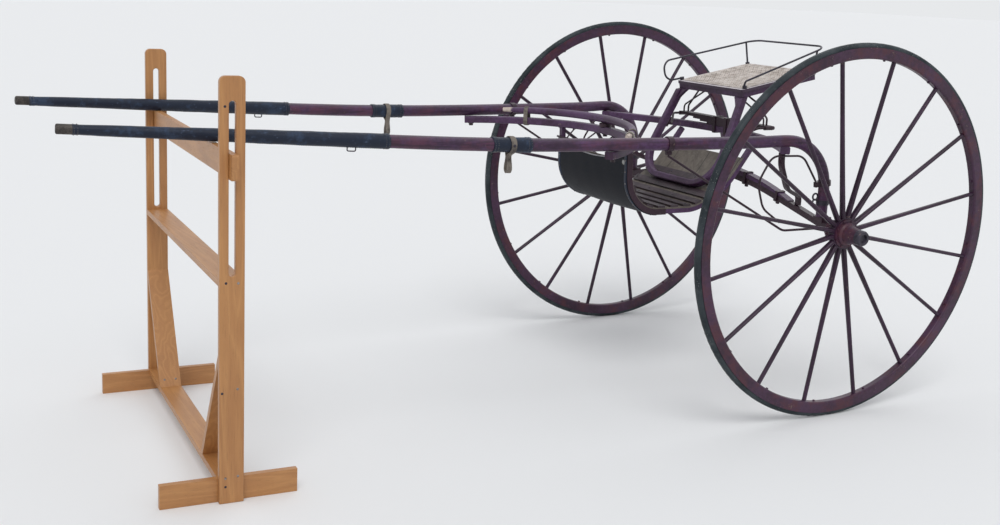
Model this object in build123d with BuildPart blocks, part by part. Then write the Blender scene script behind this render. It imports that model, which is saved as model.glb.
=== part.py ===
"""A two-wheeled horse cart standing with its shafts on a slotted wooden stand.

+X is forward, towards the shaft tips, +Y is the cart's left and +Z is up. The origin is on the floor,
under the middle of the whole length. Sizes are in millimetres and angles in degrees. Places along the
cart are given forward of the axle, and at() shifts them to the origin.
"""

import os
from math import asin, cos, degrees, radians, sin, sqrt, tan

from build123d import *

os.makedirs("parts", exist_ok=True)

LEFT, RIGHT = 1, -1
SIDES = {"left": LEFT, "right": RIGHT}

# Fits between pieces
seat_gap = 0.3
sleeve_gap = 0.3
running_gap = 0.1

# Wheels
wheel_diameter = 1420.0
track = 1543.0
camber = 1.3
tyre_width = 28.0
tyre_depth = 25.0
tyre_crown = 11.0
channel_wall = 2.5
channel_base = 3.0
channel_lip = 12.0
felloe_depth = 30.0
felloe_round = 8.0
spoke_count = 16
dish = 27.0
nave_radius = 60.0
nave_thickness = 26.0
nave_core_radius = 22.0
flange_radius = 54.0
flange_thickness = 5.0
barrel_length = 40.0
nose_length = 65.0
nose_radius = 28.0
cap_radius = 29.0
cap_length = 24.0

# Axle
arm_radius = 15.0
collar_radius = 27.0
collar_thickness = 8.0
collar_gap = 1.5
arch_slope = 13.5
arch_crown_half = 350.0
axle_bar_depth = 24.0
axle_bar_width = 28.0
bed_depth = 22.0
bed_half_length = 450.0
bed_width = 34.0

# Shafts
shaft_reach = 2750.0
tip_length = 45.0
tip_radius = 15.3
shaft_tip_spacing = 396.0
shaft_splay = 0.0847
shaft_bend_radius = 185.0
shaft_bend_start = 190.0
shaft_rear_height = 1044.0
shaft_rear_width = 38.0
shaft_rear_depth = 44.0
cover_start = 1750.0
cover_wall = 2.0
wrap_place = 1320.0
wrap_half_length = 70.0
clip_place = 705.0

# Columns: forward of the axle, height of the centre line, width, depth
SHAFT_STATIONS = (
    (shaft_reach - tip_length, 1102.0, 25.0, 25.0),
    (2250.0, 1081.0, 35.0, 36.0),
    (cover_start, 1058.0, 42.0, 44.0),
    (wrap_place, 1042.0, 44.0, 46.0),
    (930.0, 1038.0, 43.0, 46.0),
    (clip_place, 1038.0, 42.0, 46.0),
    (shaft_bend_start + 30.0, shaft_rear_height, shaft_rear_width, shaft_rear_depth),
)

# Front crossbar and the singletree strapped on it
crossbar_end = 945.0
crossbar_centre = 597.0
crossbar_width = 34.0
crossbar_depth = 28.0
crossbar_rise = 16.0
tree_lift = 44.0
tree_depth = 32.0
tree_tip_depth = 15.0
tree_half_span = 460.0

# Rear crossbar and the leaf spring across it
rear_bar_end = 200.0
rear_bar_width = 36.0
rear_bar_depth = 28.0
leaf_thickness = 7.0
leaf_width = 40.0
leaf_half_lengths = (280.0, 232.0, 184.0, 136.0, 88.0)

# Foot rack, as a bent line seen from the side
rack_half_width = 240.0
rail_depth = 18.0
rail_width = 20.0
floor_thickness = 6.0
slat_thickness = 8.0
slat_width = 36.0
slat_count = 7
slat_pitch = 62.0
rack_front = 634.0
rack_low = 724.0
rack_knee = 300.0
rack_knee_rise = 34.0
rack_back = 150.0
rack_top = 30.0
rack_top_height = 987.0
rack_front_radius = 145.0
rack_knee_radius = 180.0
rack_back_radius = 160.0
dash_thickness = 4.0
dash_drop = 45.0

# Seat
seat_front = 95.0
seat_height = 1195.0
seat_width = 434.0
seat_depth = 393.0
seat_slope = 11.3
seat_frame_bar = 26.0
seat_frame_thickness = 12.0
cane_thickness = 4.0
apron_depth = 22.0
apron_thickness = 20.0
rail_rod = 8.0
rail_height = 93.0
bow_lean = 24.0
bow_top_half = 205.0
bow_low_half = 252.0
bow_width = 28.0
bow_depth = 32.0
bow_corner = 128.0

# Irons
clip_wall_room = 0.8
stay_rod = 9.0
loop_rod = 8.0
seat_iron = 8.0
band_thickness = 3.0

# Wooden stand under the shafts
stand_forward = 2285.0
stand_offset = 92.5
stand_turn = -2.98
stand_board = 74.0
stand_thickness = 20.0
stand_height = 1280.0
stand_span = 1161.0
stand_foot_length = 418.0
slot_low = 700.0
slot_high = 1210.0
slot_width = 21.0
shelf_height = 690.0
brace_rise = 460.0
brace_reach = 230.0
bar_height = 75.0
bar_stick_out = 38.0
bar_play = 0.4

wheel_radius = wheel_diameter / 2
axle_x = -(shaft_reach - wheel_radius) / 2
axle_height = (
    (wheel_radius - tyre_crown) * cos(radians(camber))
    + (tyre_width / 2 - tyre_crown) * sin(radians(camber))
    + tyre_crown
)


def at(forward, left, up):
    """A point, given forward of the axle."""
    return (axle_x + forward, left, up)


def keep(name, builder):
    """Label a finished piece and write its file."""
    builder.part.label = name
    export_step(builder.part, f"parts/{name}.step")


# Wheels: a plane section turned about the cambered axis, with its x radial and its y along the axis
def wheel_centre(side):
    return Vector(*at(0, side * track / 2, axle_height))


def wheel_outward(side):
    return Vector(0, side * cos(radians(camber)), -sin(radians(camber)))


def wheel_radial(side, turn):
    forward = Vector(1, 0, 0)
    across = wheel_outward(side).cross(forward)
    return forward * cos(radians(turn)) + across * sin(radians(turn))


def wheel_section(side):
    radial = wheel_radial(side, 0)
    return Plane(origin=wheel_centre(side), x_dir=radial, z_dir=radial.cross(wheel_outward(side)))


def wheel_axis(side):
    return Axis(wheel_centre(side), wheel_outward(side))


channel_outer = wheel_radius - tyre_depth
felloe_outer = channel_outer - channel_base
felloe_inner = felloe_outer - felloe_depth
felloe_width = tyre_width + 2 * channel_wall
bore_radius = arm_radius + running_gap
nave_out = -dish + nave_thickness / 2
nave_in = -dish - nave_thickness / 2
hub_in = nave_in - flange_thickness - barrel_length
nose_out = nave_out + flange_thickness + nose_length

# Columns: radius, place along the axis outward of the tyre's middle
HUB_OUTLINE = (
    (bore_radius, hub_in),
    (38, hub_in),
    (38, hub_in + 8),
    (34, hub_in + 12),
    (36, nave_in - flange_thickness),
    (flange_radius, nave_in - flange_thickness),
    (flange_radius, nave_in),
    (nave_core_radius, nave_in),
    (nave_core_radius, nave_out),
    (flange_radius, nave_out),
    (flange_radius, nave_out + flange_thickness),
    (45, nave_out + flange_thickness),
    (43, nave_out + flange_thickness + 8),
    (36, nave_out + flange_thickness + 14),
    (nose_radius, nose_out - 4),
    (nose_radius, nose_out),
    (bore_radius, nose_out),
)
CAP_OUTLINE = (
    (0, nose_out),
    (cap_radius, nose_out),
    (cap_radius, nose_out + cap_length - 6),
    (cap_radius - 3, nose_out + cap_length),
    (cap_radius / 2 + 2, nose_out + cap_length),
    (cap_radius / 2, nose_out + cap_length - 8),
    (0, nose_out + cap_length - 8),
)
rivet_count = 8
rivet_ring = 49.6
rivet_radius = 3.6
rivet_height = 3.0
felloe_bolt_turn = 4.5
felloe_bolt_radius = 4.5
felloe_bolt_height = 5.0
spoke_root = nave_radius - 4.0
spoke_tip = felloe_inner - running_gap
# Columns: distance from the axis, half width round the wheel, half depth along the axis
SPOKE_STATIONS = ((spoke_root, 9.5, 13.0), (160.0, 8.5, 12.0), (spoke_tip, 7.5, 9.0))

for name, side in SIDES.items():
    with BuildPart() as tyre:
        with BuildSketch(wheel_section(side)) as tyre_profile:
            with Locations((wheel_radius - tyre_depth / 2, 0)):
                Rectangle(tyre_depth, tyre_width)
            crown_corners = tyre_profile.vertices().sort_by(Axis.X)[-2:]
            fillet(crown_corners, tyre_crown)
        revolve(axis=wheel_axis(side))
    keep(f"tyre_{name}", tyre)

    with BuildPart() as channel:
        with BuildSketch(wheel_section(side)):
            with Locations((felloe_outer + channel_lip / 2, 0)):
                Rectangle(channel_lip, felloe_width)
            with Locations((channel_outer + channel_lip / 2, 0)):
                Rectangle(channel_lip, tyre_width, mode=Mode.SUBTRACT)
        revolve(axis=wheel_axis(side))
    keep(f"tyre_channel_{name}", channel)

    with BuildPart() as felloe:
        with BuildSketch(wheel_section(side)) as felloe_profile:
            with Locations(((felloe_outer + felloe_inner) / 2, 0)):
                Rectangle(felloe_depth, felloe_width)
            fillet(felloe_profile.vertices().sort_by(Axis.X)[:2], felloe_round)
        revolve(axis=wheel_axis(side))
        for count in range(spoke_count):
            radial = wheel_radial(side, (count + 0.5) * 360 / spoke_count + felloe_bolt_turn)
            seat = wheel_centre(side) + radial * (felloe_inner + 1)
            with BuildSketch(Plane(origin=seat, x_dir=wheel_outward(side), z_dir=-radial)):
                Circle(felloe_bolt_radius)
            extrude(amount=felloe_bolt_height + 1)
    keep(f"felloe_{name}", felloe)

    with BuildPart() as spokes:
        with BuildSketch(wheel_section(side)):
            with Locations(((nave_core_radius + running_gap + nave_radius) / 2, -dish)):
                Rectangle(nave_radius - nave_core_radius - running_gap, nave_thickness)
        revolve(axis=wheel_axis(side))
        for count in range(spoke_count):
            radial = wheel_radial(side, (count + 0.5) * 360 / spoke_count)
            for distance, half_width, half_depth in SPOKE_STATIONS:
                lean = dish * (distance - spoke_tip) / (spoke_tip - spoke_root)
                middle = wheel_centre(side) + radial * distance + wheel_outward(side) * lean
                with BuildSketch(Plane(origin=middle, x_dir=wheel_outward(side), z_dir=radial)):
                    Ellipse(half_depth, half_width)
            loft()
    keep(f"spokes_{name}", spokes)

    with BuildPart() as hub:
        with BuildSketch(wheel_section(side)):
            with BuildLine():
                Polyline(*HUB_OUTLINE, close=True)
            make_face()
        revolve(axis=wheel_axis(side))
        for count in range(rivet_count):
            radial = wheel_radial(side, (count + 0.5) * 360 / rivet_count)
            seat = wheel_centre(side) + radial * rivet_ring + wheel_outward(side) * (nave_out + flange_thickness - 1)
            with BuildSketch(Plane(origin=seat, x_dir=radial, z_dir=wheel_outward(side))):
                Circle(rivet_radius)
            extrude(amount=rivet_height + 1)
    keep(f"hub_{name}", hub)

    with BuildPart() as cap:
        with BuildSketch(wheel_section(side)):
            with BuildLine():
                Polyline(*CAP_OUTLINE, close=True)
            make_face()
        revolve(axis=wheel_axis(side))
    keep(f"hub_cap_{name}", cap)

# Axle: an arched bar, its flanks running out to the collars where the arms begin
arm_start = hub_in - collar_gap - collar_thickness
arm_end = nose_out - 8.0
axle_end = track / 2 + arm_start * cos(radians(camber))
axle_end_height = axle_height - arm_start * sin(radians(camber))
arch_radius = arch_crown_half / sin(radians(arch_slope))
flank_top = axle_end_height + (axle_end - arch_crown_half) * tan(radians(arch_slope))
crown_height = flank_top + arch_radius * (1 - cos(radians(arch_slope)))
half_bar = axle_bar_depth / 2


def axle_line(left, lift):
    """Height of a line that runs parallel to the axle bar's middle, lift above it."""
    reach = abs(left)
    sine = sin(radians(arch_slope))
    if reach > (arch_radius + lift) * sine:
        return axle_end_height + (axle_end - reach) * tan(radians(arch_slope)) + lift / cos(radians(arch_slope))
    centre = crown_height - arch_radius
    return centre + sqrt((arch_radius + lift) ** 2 - reach**2)


def arch_points(lift):
    """The ends of the arched middle of a line parallel to the bar."""
    bend = (arch_radius + lift) * sin(radians(arch_slope))
    return (-bend, axle_line(bend, lift)), (0, crown_height + lift), (bend, axle_line(bend, lift))


side_plane = Plane(origin=at(0, 0, 0), x_dir=(0, 1, 0), z_dir=(1, 0, 0))

with BuildPart() as axle:
    with BuildSketch(side_plane):
        with BuildLine():
            upper = arch_points(half_bar)
            lower = arch_points(-half_bar)
            ThreePointArc(*upper)
            ThreePointArc(*lower)
            for end in (LEFT, RIGHT):
                tip = end * axle_end
                high = upper[2] if end == LEFT else upper[0]
                low = lower[2] if end == LEFT else lower[0]
                Polyline(high, (tip, axle_line(tip, half_bar)), (tip, axle_line(tip, -half_bar)), low)
        make_face()
    extrude(amount=axle_bar_width / 2, both=True)
    for side in (LEFT, RIGHT):
        arm_plane = Plane(
            origin=wheel_centre(side) + wheel_outward(side) * (arm_start - 6),
            x_dir=(1, 0, 0),
            z_dir=wheel_outward(side),
        )
        with BuildSketch(arm_plane):
            Circle(arm_radius)
        extrude(amount=arm_end - arm_start + 6)
        with BuildSketch(arm_plane):
            Circle(collar_radius)
        extrude(amount=6 + collar_thickness)
keep("axle", axle)

# Axle bed: a wooden piece on the crown of the bar, running out to nothing
bed_end_height = axle_line(bed_half_length, half_bar + seat_gap)
bed_shoulder = 3.0
with BuildPart() as axle_bed:
    with BuildSketch(side_plane):
        with BuildLine():
            under = arch_points(half_bar + seat_gap)
            ThreePointArc(*under)
            for end in (LEFT, RIGHT):
                near = under[2] if end == LEFT else under[0]
                Polyline(
                    near,
                    (end * bed_half_length, bed_end_height),
                    (end * bed_half_length, bed_end_height + bed_shoulder),
                )
            ThreePointArc(
                (-bed_half_length, bed_end_height + bed_shoulder),
                (0, crown_height + half_bar + bed_depth),
                (bed_half_length, bed_end_height + bed_shoulder),
            )
        make_face()
    extrude(amount=bed_width / 2, both=True)
keep("axle_bed", axle_bed)

# Axle clips: flat bands round bar and bed, each with a nut below
bed_rise = crown_height + half_bar + bed_depth - bed_end_height - bed_shoulder
bed_radius = (bed_half_length**2 + bed_rise**2) / (2 * bed_rise)
CLIP_PLACES = (-380.0, -182.0, 182.0, 380.0)
clip_length = 14.0
nut_radius = 8.0
nut_height = 12.0
with BuildPart() as axle_clips:
    for place in CLIP_PLACES:
        low = axle_line(place, -half_bar)
        high = crown_height + half_bar + bed_depth - bed_radius + sqrt(bed_radius**2 - place**2)
        turn = degrees(asin(min(abs(place) / arch_radius, sin(radians(arch_slope)))))
        normal = Vector(0, cos(radians(turn)), -sin(radians(turn)) * (1 if place > 0 else -1))
        clip_plane = Plane(origin=at(0, place, (low + high) / 2), x_dir=(1, 0, 0), z_dir=normal)
        room = (high - low) * cos(radians(turn)) + 2 * seat_gap + clip_length * 0.12
        wide = bed_width + 2 * seat_gap
        with BuildSketch(clip_plane):
            Rectangle(wide + 2 * band_thickness, room + 2 * band_thickness)
            Rectangle(wide, room, mode=Mode.SUBTRACT)
        extrude(amount=clip_length / 2, both=True)
        down = clip_plane.y_dir if clip_plane.y_dir.Z < 0 else -clip_plane.y_dir
        nut_plane = Plane(
            origin=Vector(*at(0, place, (low + high) / 2)) + down * (room / 2 + band_thickness - 1),
            x_dir=(1, 0, 0),
            z_dir=down,
        )
        with BuildSketch(nut_plane):
            RegularPolygon(nut_radius, 6)
        extrude(amount=nut_height)
keep("axle_clips", axle_clips)


# Shafts
def shaft_left(forward):
    """How far the shaft's centre line is from the middle of the cart."""
    return shaft_tip_spacing + (shaft_reach - forward) * shaft_splay


def shaft_up(forward):
    """Height of the shaft's centre line, straight from station to station."""
    for ahead, behind in zip(SHAFT_STATIONS, SHAFT_STATIONS[1:]):
        if ahead[0] >= forward >= behind[0]:
            share = (ahead[0] - forward) / (ahead[0] - behind[0])
            return ahead[1] + share * (behind[1] - ahead[1])
    return shaft_rear_height


def shaft_size(forward):
    """Width and depth of the shaft, straight from station to station."""
    for ahead, behind in zip(SHAFT_STATIONS, SHAFT_STATIONS[1:]):
        if ahead[0] >= forward >= behind[0]:
            share = (ahead[0] - forward) / (ahead[0] - behind[0])
            return tuple(a + share * (b - a) for a, b in zip(ahead[2:], behind[2:]))
    return shaft_rear_width, shaft_rear_depth


def shaft_plane(side, forward, step=40.0):
    """A plane across the shaft, its z forward along the shaft."""
    ahead = Vector(*at(forward + step, side * shaft_left(forward + step), shaft_up(forward + step)))
    behind = Vector(*at(forward - step, side * shaft_left(forward - step), shaft_up(forward - step)))
    middle = at(forward, side * shaft_left(forward), shaft_up(forward))
    return Plane(origin=middle, x_dir=(0, 1, 0), z_dir=(ahead - behind).normalized())


def shaft_sections(side, grow):
    """The sections of the shaft's long run, each grown all round."""
    sections = []
    for forward, height, width, depth in SHAFT_STATIONS:
        middle = at(forward, side * shaft_left(forward), height)
        with BuildSketch(Plane(origin=middle, x_dir=(0, 1, 0), z_dir=(1, 0, 0))) as section:
            Ellipse(width / 2 + grow, depth / 2 + grow)
        sections.append(section.sketch)
    return sections


def shaft_path(side):
    """The bend at the rear, down to the foot."""
    along = Vector(-1, side * shaft_splay, 0).normalized()
    start = Vector(*at(shaft_bend_start + 30, side * shaft_left(shaft_bend_start + 30), shaft_rear_height))
    corner = start + along * (30 / abs(along.X) + shaft_bend_radius)
    foot = Vector(corner.X, corner.Y, foot_height - 5)
    return start, corner, foot


foot_height = axle_line(shaft_left(0), half_bar) + 16.0

for name, side in SIDES.items():
    with BuildPart() as shaft:
        loft(shaft_sections(side, 0))
        start, corner, foot = shaft_path(side)
        with BuildLine() as bend:
            FilletPolyline(start, corner, foot, radius=shaft_bend_radius)
        with BuildSketch(Plane(origin=start, x_dir=(0, 1, 0), z_dir=(-1, 0, 0))):
            Ellipse(shaft_rear_width / 2, shaft_rear_depth / 2)
        sweep(path=bend.line)
        split(bisect_by=Plane(origin=(0, 0, foot_height), z_dir=(0, 0, 1)), keep=Keep.TOP)
    keep(f"shaft_{name}", shaft)


# Leather sleeves that follow the shaft between two places
# Columns: name, rear end, front end
SLEEVES = (
    ("shaft_cover", cover_start, shaft_reach - tip_length),
    ("shaft_wrap", wrap_place - wrap_half_length, wrap_place + wrap_half_length),
)
for sleeve_name, behind, ahead in SLEEVES:
    for name, side in SIDES.items():
        with BuildPart() as sleeve:
            loft(shaft_sections(side, sleeve_gap + cover_wall))
            loft(shaft_sections(side, sleeve_gap), mode=Mode.SUBTRACT)
            split(bisect_by=Plane(origin=at(behind, 0, 0), z_dir=(1, 0, 0)), keep=Keep.TOP)
            split(bisect_by=Plane(origin=at(ahead, 0, 0), z_dir=(1, 0, 0)), keep=Keep.BOTTOM)
        keep(f"{sleeve_name}_{name}", sleeve)

tip_direction = {
    side: (
        Vector(*at(shaft_reach, side * shaft_left(shaft_reach), SHAFT_STATIONS[0][1] + 2))
        - Vector(*at(shaft_reach - tip_length, side * shaft_left(shaft_reach - tip_length), SHAFT_STATIONS[0][1]))
    ).normalized()
    for side in (LEFT, RIGHT)
}
for name, side in SIDES.items():
    with BuildPart() as tip:
        base = Vector(*at(shaft_reach - tip_length, side * shaft_left(shaft_reach - tip_length), SHAFT_STATIONS[0][1]))
        with BuildSketch(Plane(origin=base - tip_direction[side] * 5, x_dir=(0, 1, 0), z_dir=tip_direction[side])):
            Circle(tip_radius)
        extrude(amount=tip_length / tip_direction[side].X + 5)
        fillet(tip.edges().sort_by(Axis.X)[-1], 5)
        split(bisect_by=Plane(origin=at(shaft_reach - tip_length, 0, 0), z_dir=(1, 0, 0)), keep=Keep.TOP)
    keep(f"shaft_tip_{name}", tip)

# Strap loops at the wraps: a keeper round the shaft and a wide loop hanging under it
strap_thickness = 3.5
keeper_width = 18.0
loop_width = 34.0
loop_drop = 72.0
with BuildPart() as strap_loops:
    for side in (LEFT, RIGHT):
        width, depth = shaft_size(wrap_place)
        inner_w = width / 2 + sleeve_gap * 2 + cover_wall
        inner_d = depth / 2 + sleeve_gap * 2 + cover_wall
        plane = shaft_plane(side, wrap_place)
        with BuildSketch(plane):
            Ellipse(inner_w + strap_thickness, inner_d + strap_thickness)
            with Locations((0, -inner_d - loop_drop / 2 + 10)):
                RectangleRounded(2 * (inner_w + strap_thickness) - 10, loop_drop + 20, 12)
            Ellipse(inner_w, inner_d, mode=Mode.SUBTRACT)
            with Locations((0, -inner_d - loop_drop / 2 + 2)):
                RectangleRounded(2 * inner_w - 10, loop_drop - 8 - strap_thickness, 9, mode=Mode.SUBTRACT)
        extrude(amount=loop_width / 2, both=True)
keep("strap_loops", strap_loops)

# Footman loops: small staples under the shafts for harness straps
staple_place = 1870.0
staple_rod = 4.0
staple_half = 14.0
staple_drop = 12.0
with BuildPart() as staples:
    for side in (LEFT, RIGHT):
        plane = shaft_plane(side, staple_place)
        top = -shaft_size(staple_place)[1] / 2 - cover_wall - 2 * sleeve_gap
        with BuildLine(Plane(origin=plane.origin, x_dir=plane.z_dir, z_dir=plane.x_dir)) as staple_line:
            sign = staple_line.workplanes[0].y_dir.Z
            FilletPolyline(
                (-staple_half, top * sign),
                (-staple_half, (top - staple_drop) * sign),
                (staple_half, (top - staple_drop) * sign),
                (staple_half, top * sign),
                radius=5,
            )
        with BuildSketch(Plane(origin=staple_line.line @ 0, z_dir=staple_line.line % 0)):
            Circle(staple_rod / 2)
        sweep(path=staple_line.line)
keep("footman_loops", staples)

# Front crossbar: a bent bar, its ends bolted under the shafts, and the singletree that lies over it
crossbar_half = shaft_left(crossbar_end)
crossbar_bend = crossbar_end - crossbar_centre
crossbar_radius = (crossbar_half**2 + crossbar_bend**2) / (2 * crossbar_bend)
crossbar_tilt = degrees(asin(crossbar_rise / crossbar_bend))
crossbar_clearance = 1.5
crossbar_under = shaft_up(crossbar_end) - shaft_size(crossbar_end)[1] / 2 - seat_gap
bar_x_dir = Vector(cos(radians(crossbar_tilt)), 0, -sin(radians(crossbar_tilt)))
bar_up = Vector(sin(radians(crossbar_tilt)), 0, cos(radians(crossbar_tilt)))
# The plane of the bar's top, with its origin at the centre of the bend
crossbar_top = Plane(
    origin=Vector(*at(crossbar_end, 0, crossbar_under - crossbar_clearance)) - bar_x_dir * (crossbar_bend - crossbar_radius),
    x_dir=bar_x_dir,
    z_dir=bar_up,
)
crossbar_angle = degrees(asin(crossbar_half / crossbar_radius))


def bent_bar(radius, width, angle):
    """A flat band along an arc that opens forward."""
    with BuildSketch() as band:
        with BuildLine():
            for reach in (radius - width / 2, radius + width / 2):
                CenterArc((0, 0), reach, 180 - angle, 2 * angle)
            for turn in (180 - angle, 180 + angle):
                Line(
                    ((radius - width / 2) * cos(radians(turn)), (radius - width / 2) * sin(radians(turn))),
                    ((radius + width / 2) * cos(radians(turn)), (radius + width / 2) * sin(radians(turn))),
                )
        make_face()
    return band.sketch_local


with BuildPart() as front_crossbar:
    with BuildSketch(crossbar_top):
        add(bent_bar(crossbar_radius, crossbar_width, crossbar_angle))
    extrude(amount=-crossbar_depth)
    fillet(front_crossbar.edges().filter_by(GeomType.CIRCLE), 5)
keep("front_crossbar", front_crossbar)

tree_angle = degrees(asin(tree_half_span / crossbar_radius))
# Columns: share of the way out to the tip, depth as a share of the middle's
TREE_STATIONS = ((-1.0, 0.5), (-0.85, 0.78), (-0.45, 0.95), (0.0, 1.0), (0.45, 0.95), (0.85, 0.78), (1.0, 0.5))


def bar_point(turn, lift):
    """A point on the bar's arc, turned from the middle, above the bar's top."""
    place = crossbar_top.origin
    reach = bar_x_dir * (-crossbar_radius * cos(radians(turn)))
    return place + reach + Vector(0, crossbar_radius * sin(radians(turn)), 0) + bar_up * lift


with BuildPart() as singletree:
    for share, size in TREE_STATIONS:
        turn = share * tree_angle
        along = bar_x_dir * sin(radians(turn)) + Vector(0, cos(radians(turn)), 0)
        with BuildSketch(Plane(origin=bar_point(turn, tree_lift - crossbar_depth / 2), x_dir=bar_up, z_dir=along)):
            Ellipse(tree_depth / 2 * size, tree_depth / 2 * size)
    loft()
keep("singletree", singletree)

tree_plate_radius = 24.0
with BuildPart() as tree_bolt:
    with BuildSketch(Plane(origin=bar_point(0, seat_gap), x_dir=(0, 1, 0), z_dir=bar_up)):
        Circle(tree_plate_radius)
    extrude(amount=tree_lift - crossbar_depth / 2 - tree_depth / 2 - 2 * seat_gap)
keep("tree_plate", tree_bolt)

strap_turn = 0.8 * tree_angle
with BuildPart() as tree_straps:
    for side in (LEFT, RIGHT):
        turn = side * strap_turn
        along = bar_x_dir * sin(radians(turn)) + Vector(0, cos(radians(turn)), 0)
        high = tree_lift - crossbar_depth / 2 + tree_depth / 2
        middle = bar_point(turn, (high - crossbar_depth) / 2)
        room = high + crossbar_depth + 2 * seat_gap
        wide = crossbar_width + 3
        with BuildSketch(Plane(origin=middle, x_dir=bar_up, z_dir=along)):
            RectangleRounded(room + 2 * strap_thickness, wide + 2 * strap_thickness, 10)
            RectangleRounded(room, wide, 7, mode=Mode.SUBTRACT)
        extrude(amount=keeper_width / 2, both=True)
keep("tree_straps", tree_straps)

# Bar bolts: nuts under the front crossbar, at both shafts and under the singletree's plate
bolt_nut = 9.0
bolt_nut_height = 9.0
with BuildPart() as bar_bolts:
    end_turn = degrees(asin((crossbar_half - 12) / crossbar_radius))
    for turn in (-end_turn, 0, end_turn):
        with BuildSketch(Plane(origin=bar_point(turn, -crossbar_depth - seat_gap), x_dir=(0, 1, 0), z_dir=-bar_up)):
            Circle(bolt_nut + 4)
        extrude(amount=2)
        with BuildSketch(Plane(origin=bar_point(turn, -crossbar_depth - seat_gap - 2), x_dir=(0, 1, 0), z_dir=-bar_up)):
            RegularPolygon(bolt_nut, 6)
        extrude(amount=bolt_nut_height)
keep("bar_bolts", bar_bolts)

# Rear crossbar: a shallow bent bar under the shafts that carries the spring
rear_half = shaft_left(rear_bar_end)
rear_radius = (rear_half**2 + rear_bar_end**2) / (2 * rear_bar_end)
rear_top = shaft_rear_height - shaft_rear_depth / 2 - seat_gap
rear_angle = degrees(asin(rear_half / rear_radius))
with BuildPart() as rear_crossbar:
    with BuildSketch(Plane(origin=at(rear_radius, 0, rear_top), x_dir=(1, 0, 0), z_dir=(0, 0, 1))):
        add(bent_bar(rear_radius, rear_bar_width, rear_angle))
    extrude(amount=-rear_bar_depth)
    fillet(rear_crossbar.edges().filter_by(GeomType.CIRCLE), 5)
keep("rear_crossbar", rear_crossbar)

spring_top = rear_top + seat_gap + leaf_thickness * len(leaf_half_lengths)
spring_eye = 9.0
eye_bore = 4.0
with BuildPart() as leaf_spring:
    with BuildSketch(side_plane):
        for count, half_length in enumerate(leaf_half_lengths):
            with Locations((0, spring_top - leaf_thickness * (count + 0.5))):
                Rectangle(2 * half_length, leaf_thickness)
        for end in (LEFT, RIGHT):
            with Locations((end * leaf_half_lengths[0], spring_top - spring_eye)):
                Circle(spring_eye)
                Circle(eye_bore, mode=Mode.SUBTRACT)
    extrude(amount=leaf_width / 2, both=True)
keep("leaf_spring", leaf_spring)

clamp_place = 36.0
clamp_width = 16.0
with BuildPart() as spring_clamps:
    for end in (LEFT, RIGHT):
        low = rear_top - rear_bar_depth - seat_gap
        high = spring_top + seat_gap
        wide = leaf_width + 2 * seat_gap
        with BuildSketch(Plane(origin=at(0, end * clamp_place, (low + high) / 2), x_dir=(1, 0, 0), z_dir=(0, 1, 0))):
            Rectangle(wide + 2 * band_thickness, high - low + 2 * band_thickness)
            Rectangle(wide, high - low, mode=Mode.SUBTRACT)
        extrude(amount=clamp_width / 2, both=True)
keep("spring_clamps", spring_clamps)

# Foot rack: rails bent to one line, a thin floor on them, slats on the floor, and the dash in front
rack_rise = tan(radians(rack_knee_rise))
rack_hang = (
    crossbar_top.origin.Z
    + crossbar_radius * sin(radians(crossbar_tilt)) * cos(asin(rack_half_width / crossbar_radius))
    - crossbar_depth * cos(radians(crossbar_tilt))
)
rack_hang_x = crossbar_centre + crossbar_radius - sqrt(crossbar_radius**2 - rack_half_width**2)
RACK_LINE = (
    (rack_hang_x, rack_hang - 1.0),
    (rack_front, rack_low),
    (rack_knee, rack_low),
    (rack_back, rack_low + (rack_knee - rack_back) * rack_rise),
    (rack_top, rack_top_height),
)
RACK_RADII = (rack_front_radius, rack_knee_radius, rack_back_radius)


def rack_points(left):
    return [Vector(*at(forward, left, up)) for forward, up in RACK_LINE]


def rack_plane(left):
    """The plane across the rack's line at its top, x to the left and y to the outside."""
    first, second = rack_points(left)[:2]
    down = (second - first).normalized()
    return Plane(origin=first, x_dir=(0, 1, 0), z_dir=down)


outward = 1 if rack_plane(0).y_dir.X > 0 else -1

with BuildPart() as rack_rails:
    for side in (LEFT, RIGHT):
        with BuildLine() as rail_line:
            FilletPolyline(*rack_points(side * rack_half_width), radius=RACK_RADII)
        with BuildSketch(rack_plane(side * rack_half_width)):
            Rectangle(rail_width, rail_depth)
        sweep(path=rail_line.line)
keep("rack_rails", rack_rails)

floor_width = 2 * rack_half_width + rail_width
floor_start = 30.0
with BuildPart() as rack_floor:
    with BuildLine() as floor_line:
        FilletPolyline(*rack_points(0), radius=RACK_RADII)
    with BuildSketch(rack_plane(0)):
        with Locations((0, -outward * (rail_depth / 2 + seat_gap + floor_thickness / 2))):
            Rectangle(floor_width, floor_thickness)
    sweep(path=floor_line.line)
    split(bisect_by=Plane(origin=at(0, 0, rack_hang - floor_start - dash_drop), z_dir=(0, 0, 1)), keep=Keep.BOTTOM)
keep("rack_floor", rack_floor)

slat_lift = rail_depth / 2 + 2 * seat_gap + floor_thickness + slat_thickness / 2
rack_wire = floor_line.wire()
rack_length = rack_wire.length
last_slat = 560.0
with BuildPart() as rack_slats:
    for count in range(slat_count):
        middle = last_slat - count * slat_pitch
        slat_wire = rack_wire.trim((middle - slat_width / 2) / rack_length, (middle + slat_width / 2) / rack_length)
        with BuildSketch(Plane(origin=slat_wire @ 0, x_dir=(0, 1, 0), z_dir=slat_wire % 0)):
            with Locations((0, -outward * slat_lift)):
                Rectangle(floor_width, slat_thickness)
        sweep(path=slat_wire)
keep("rack_slats", rack_slats)

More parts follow.
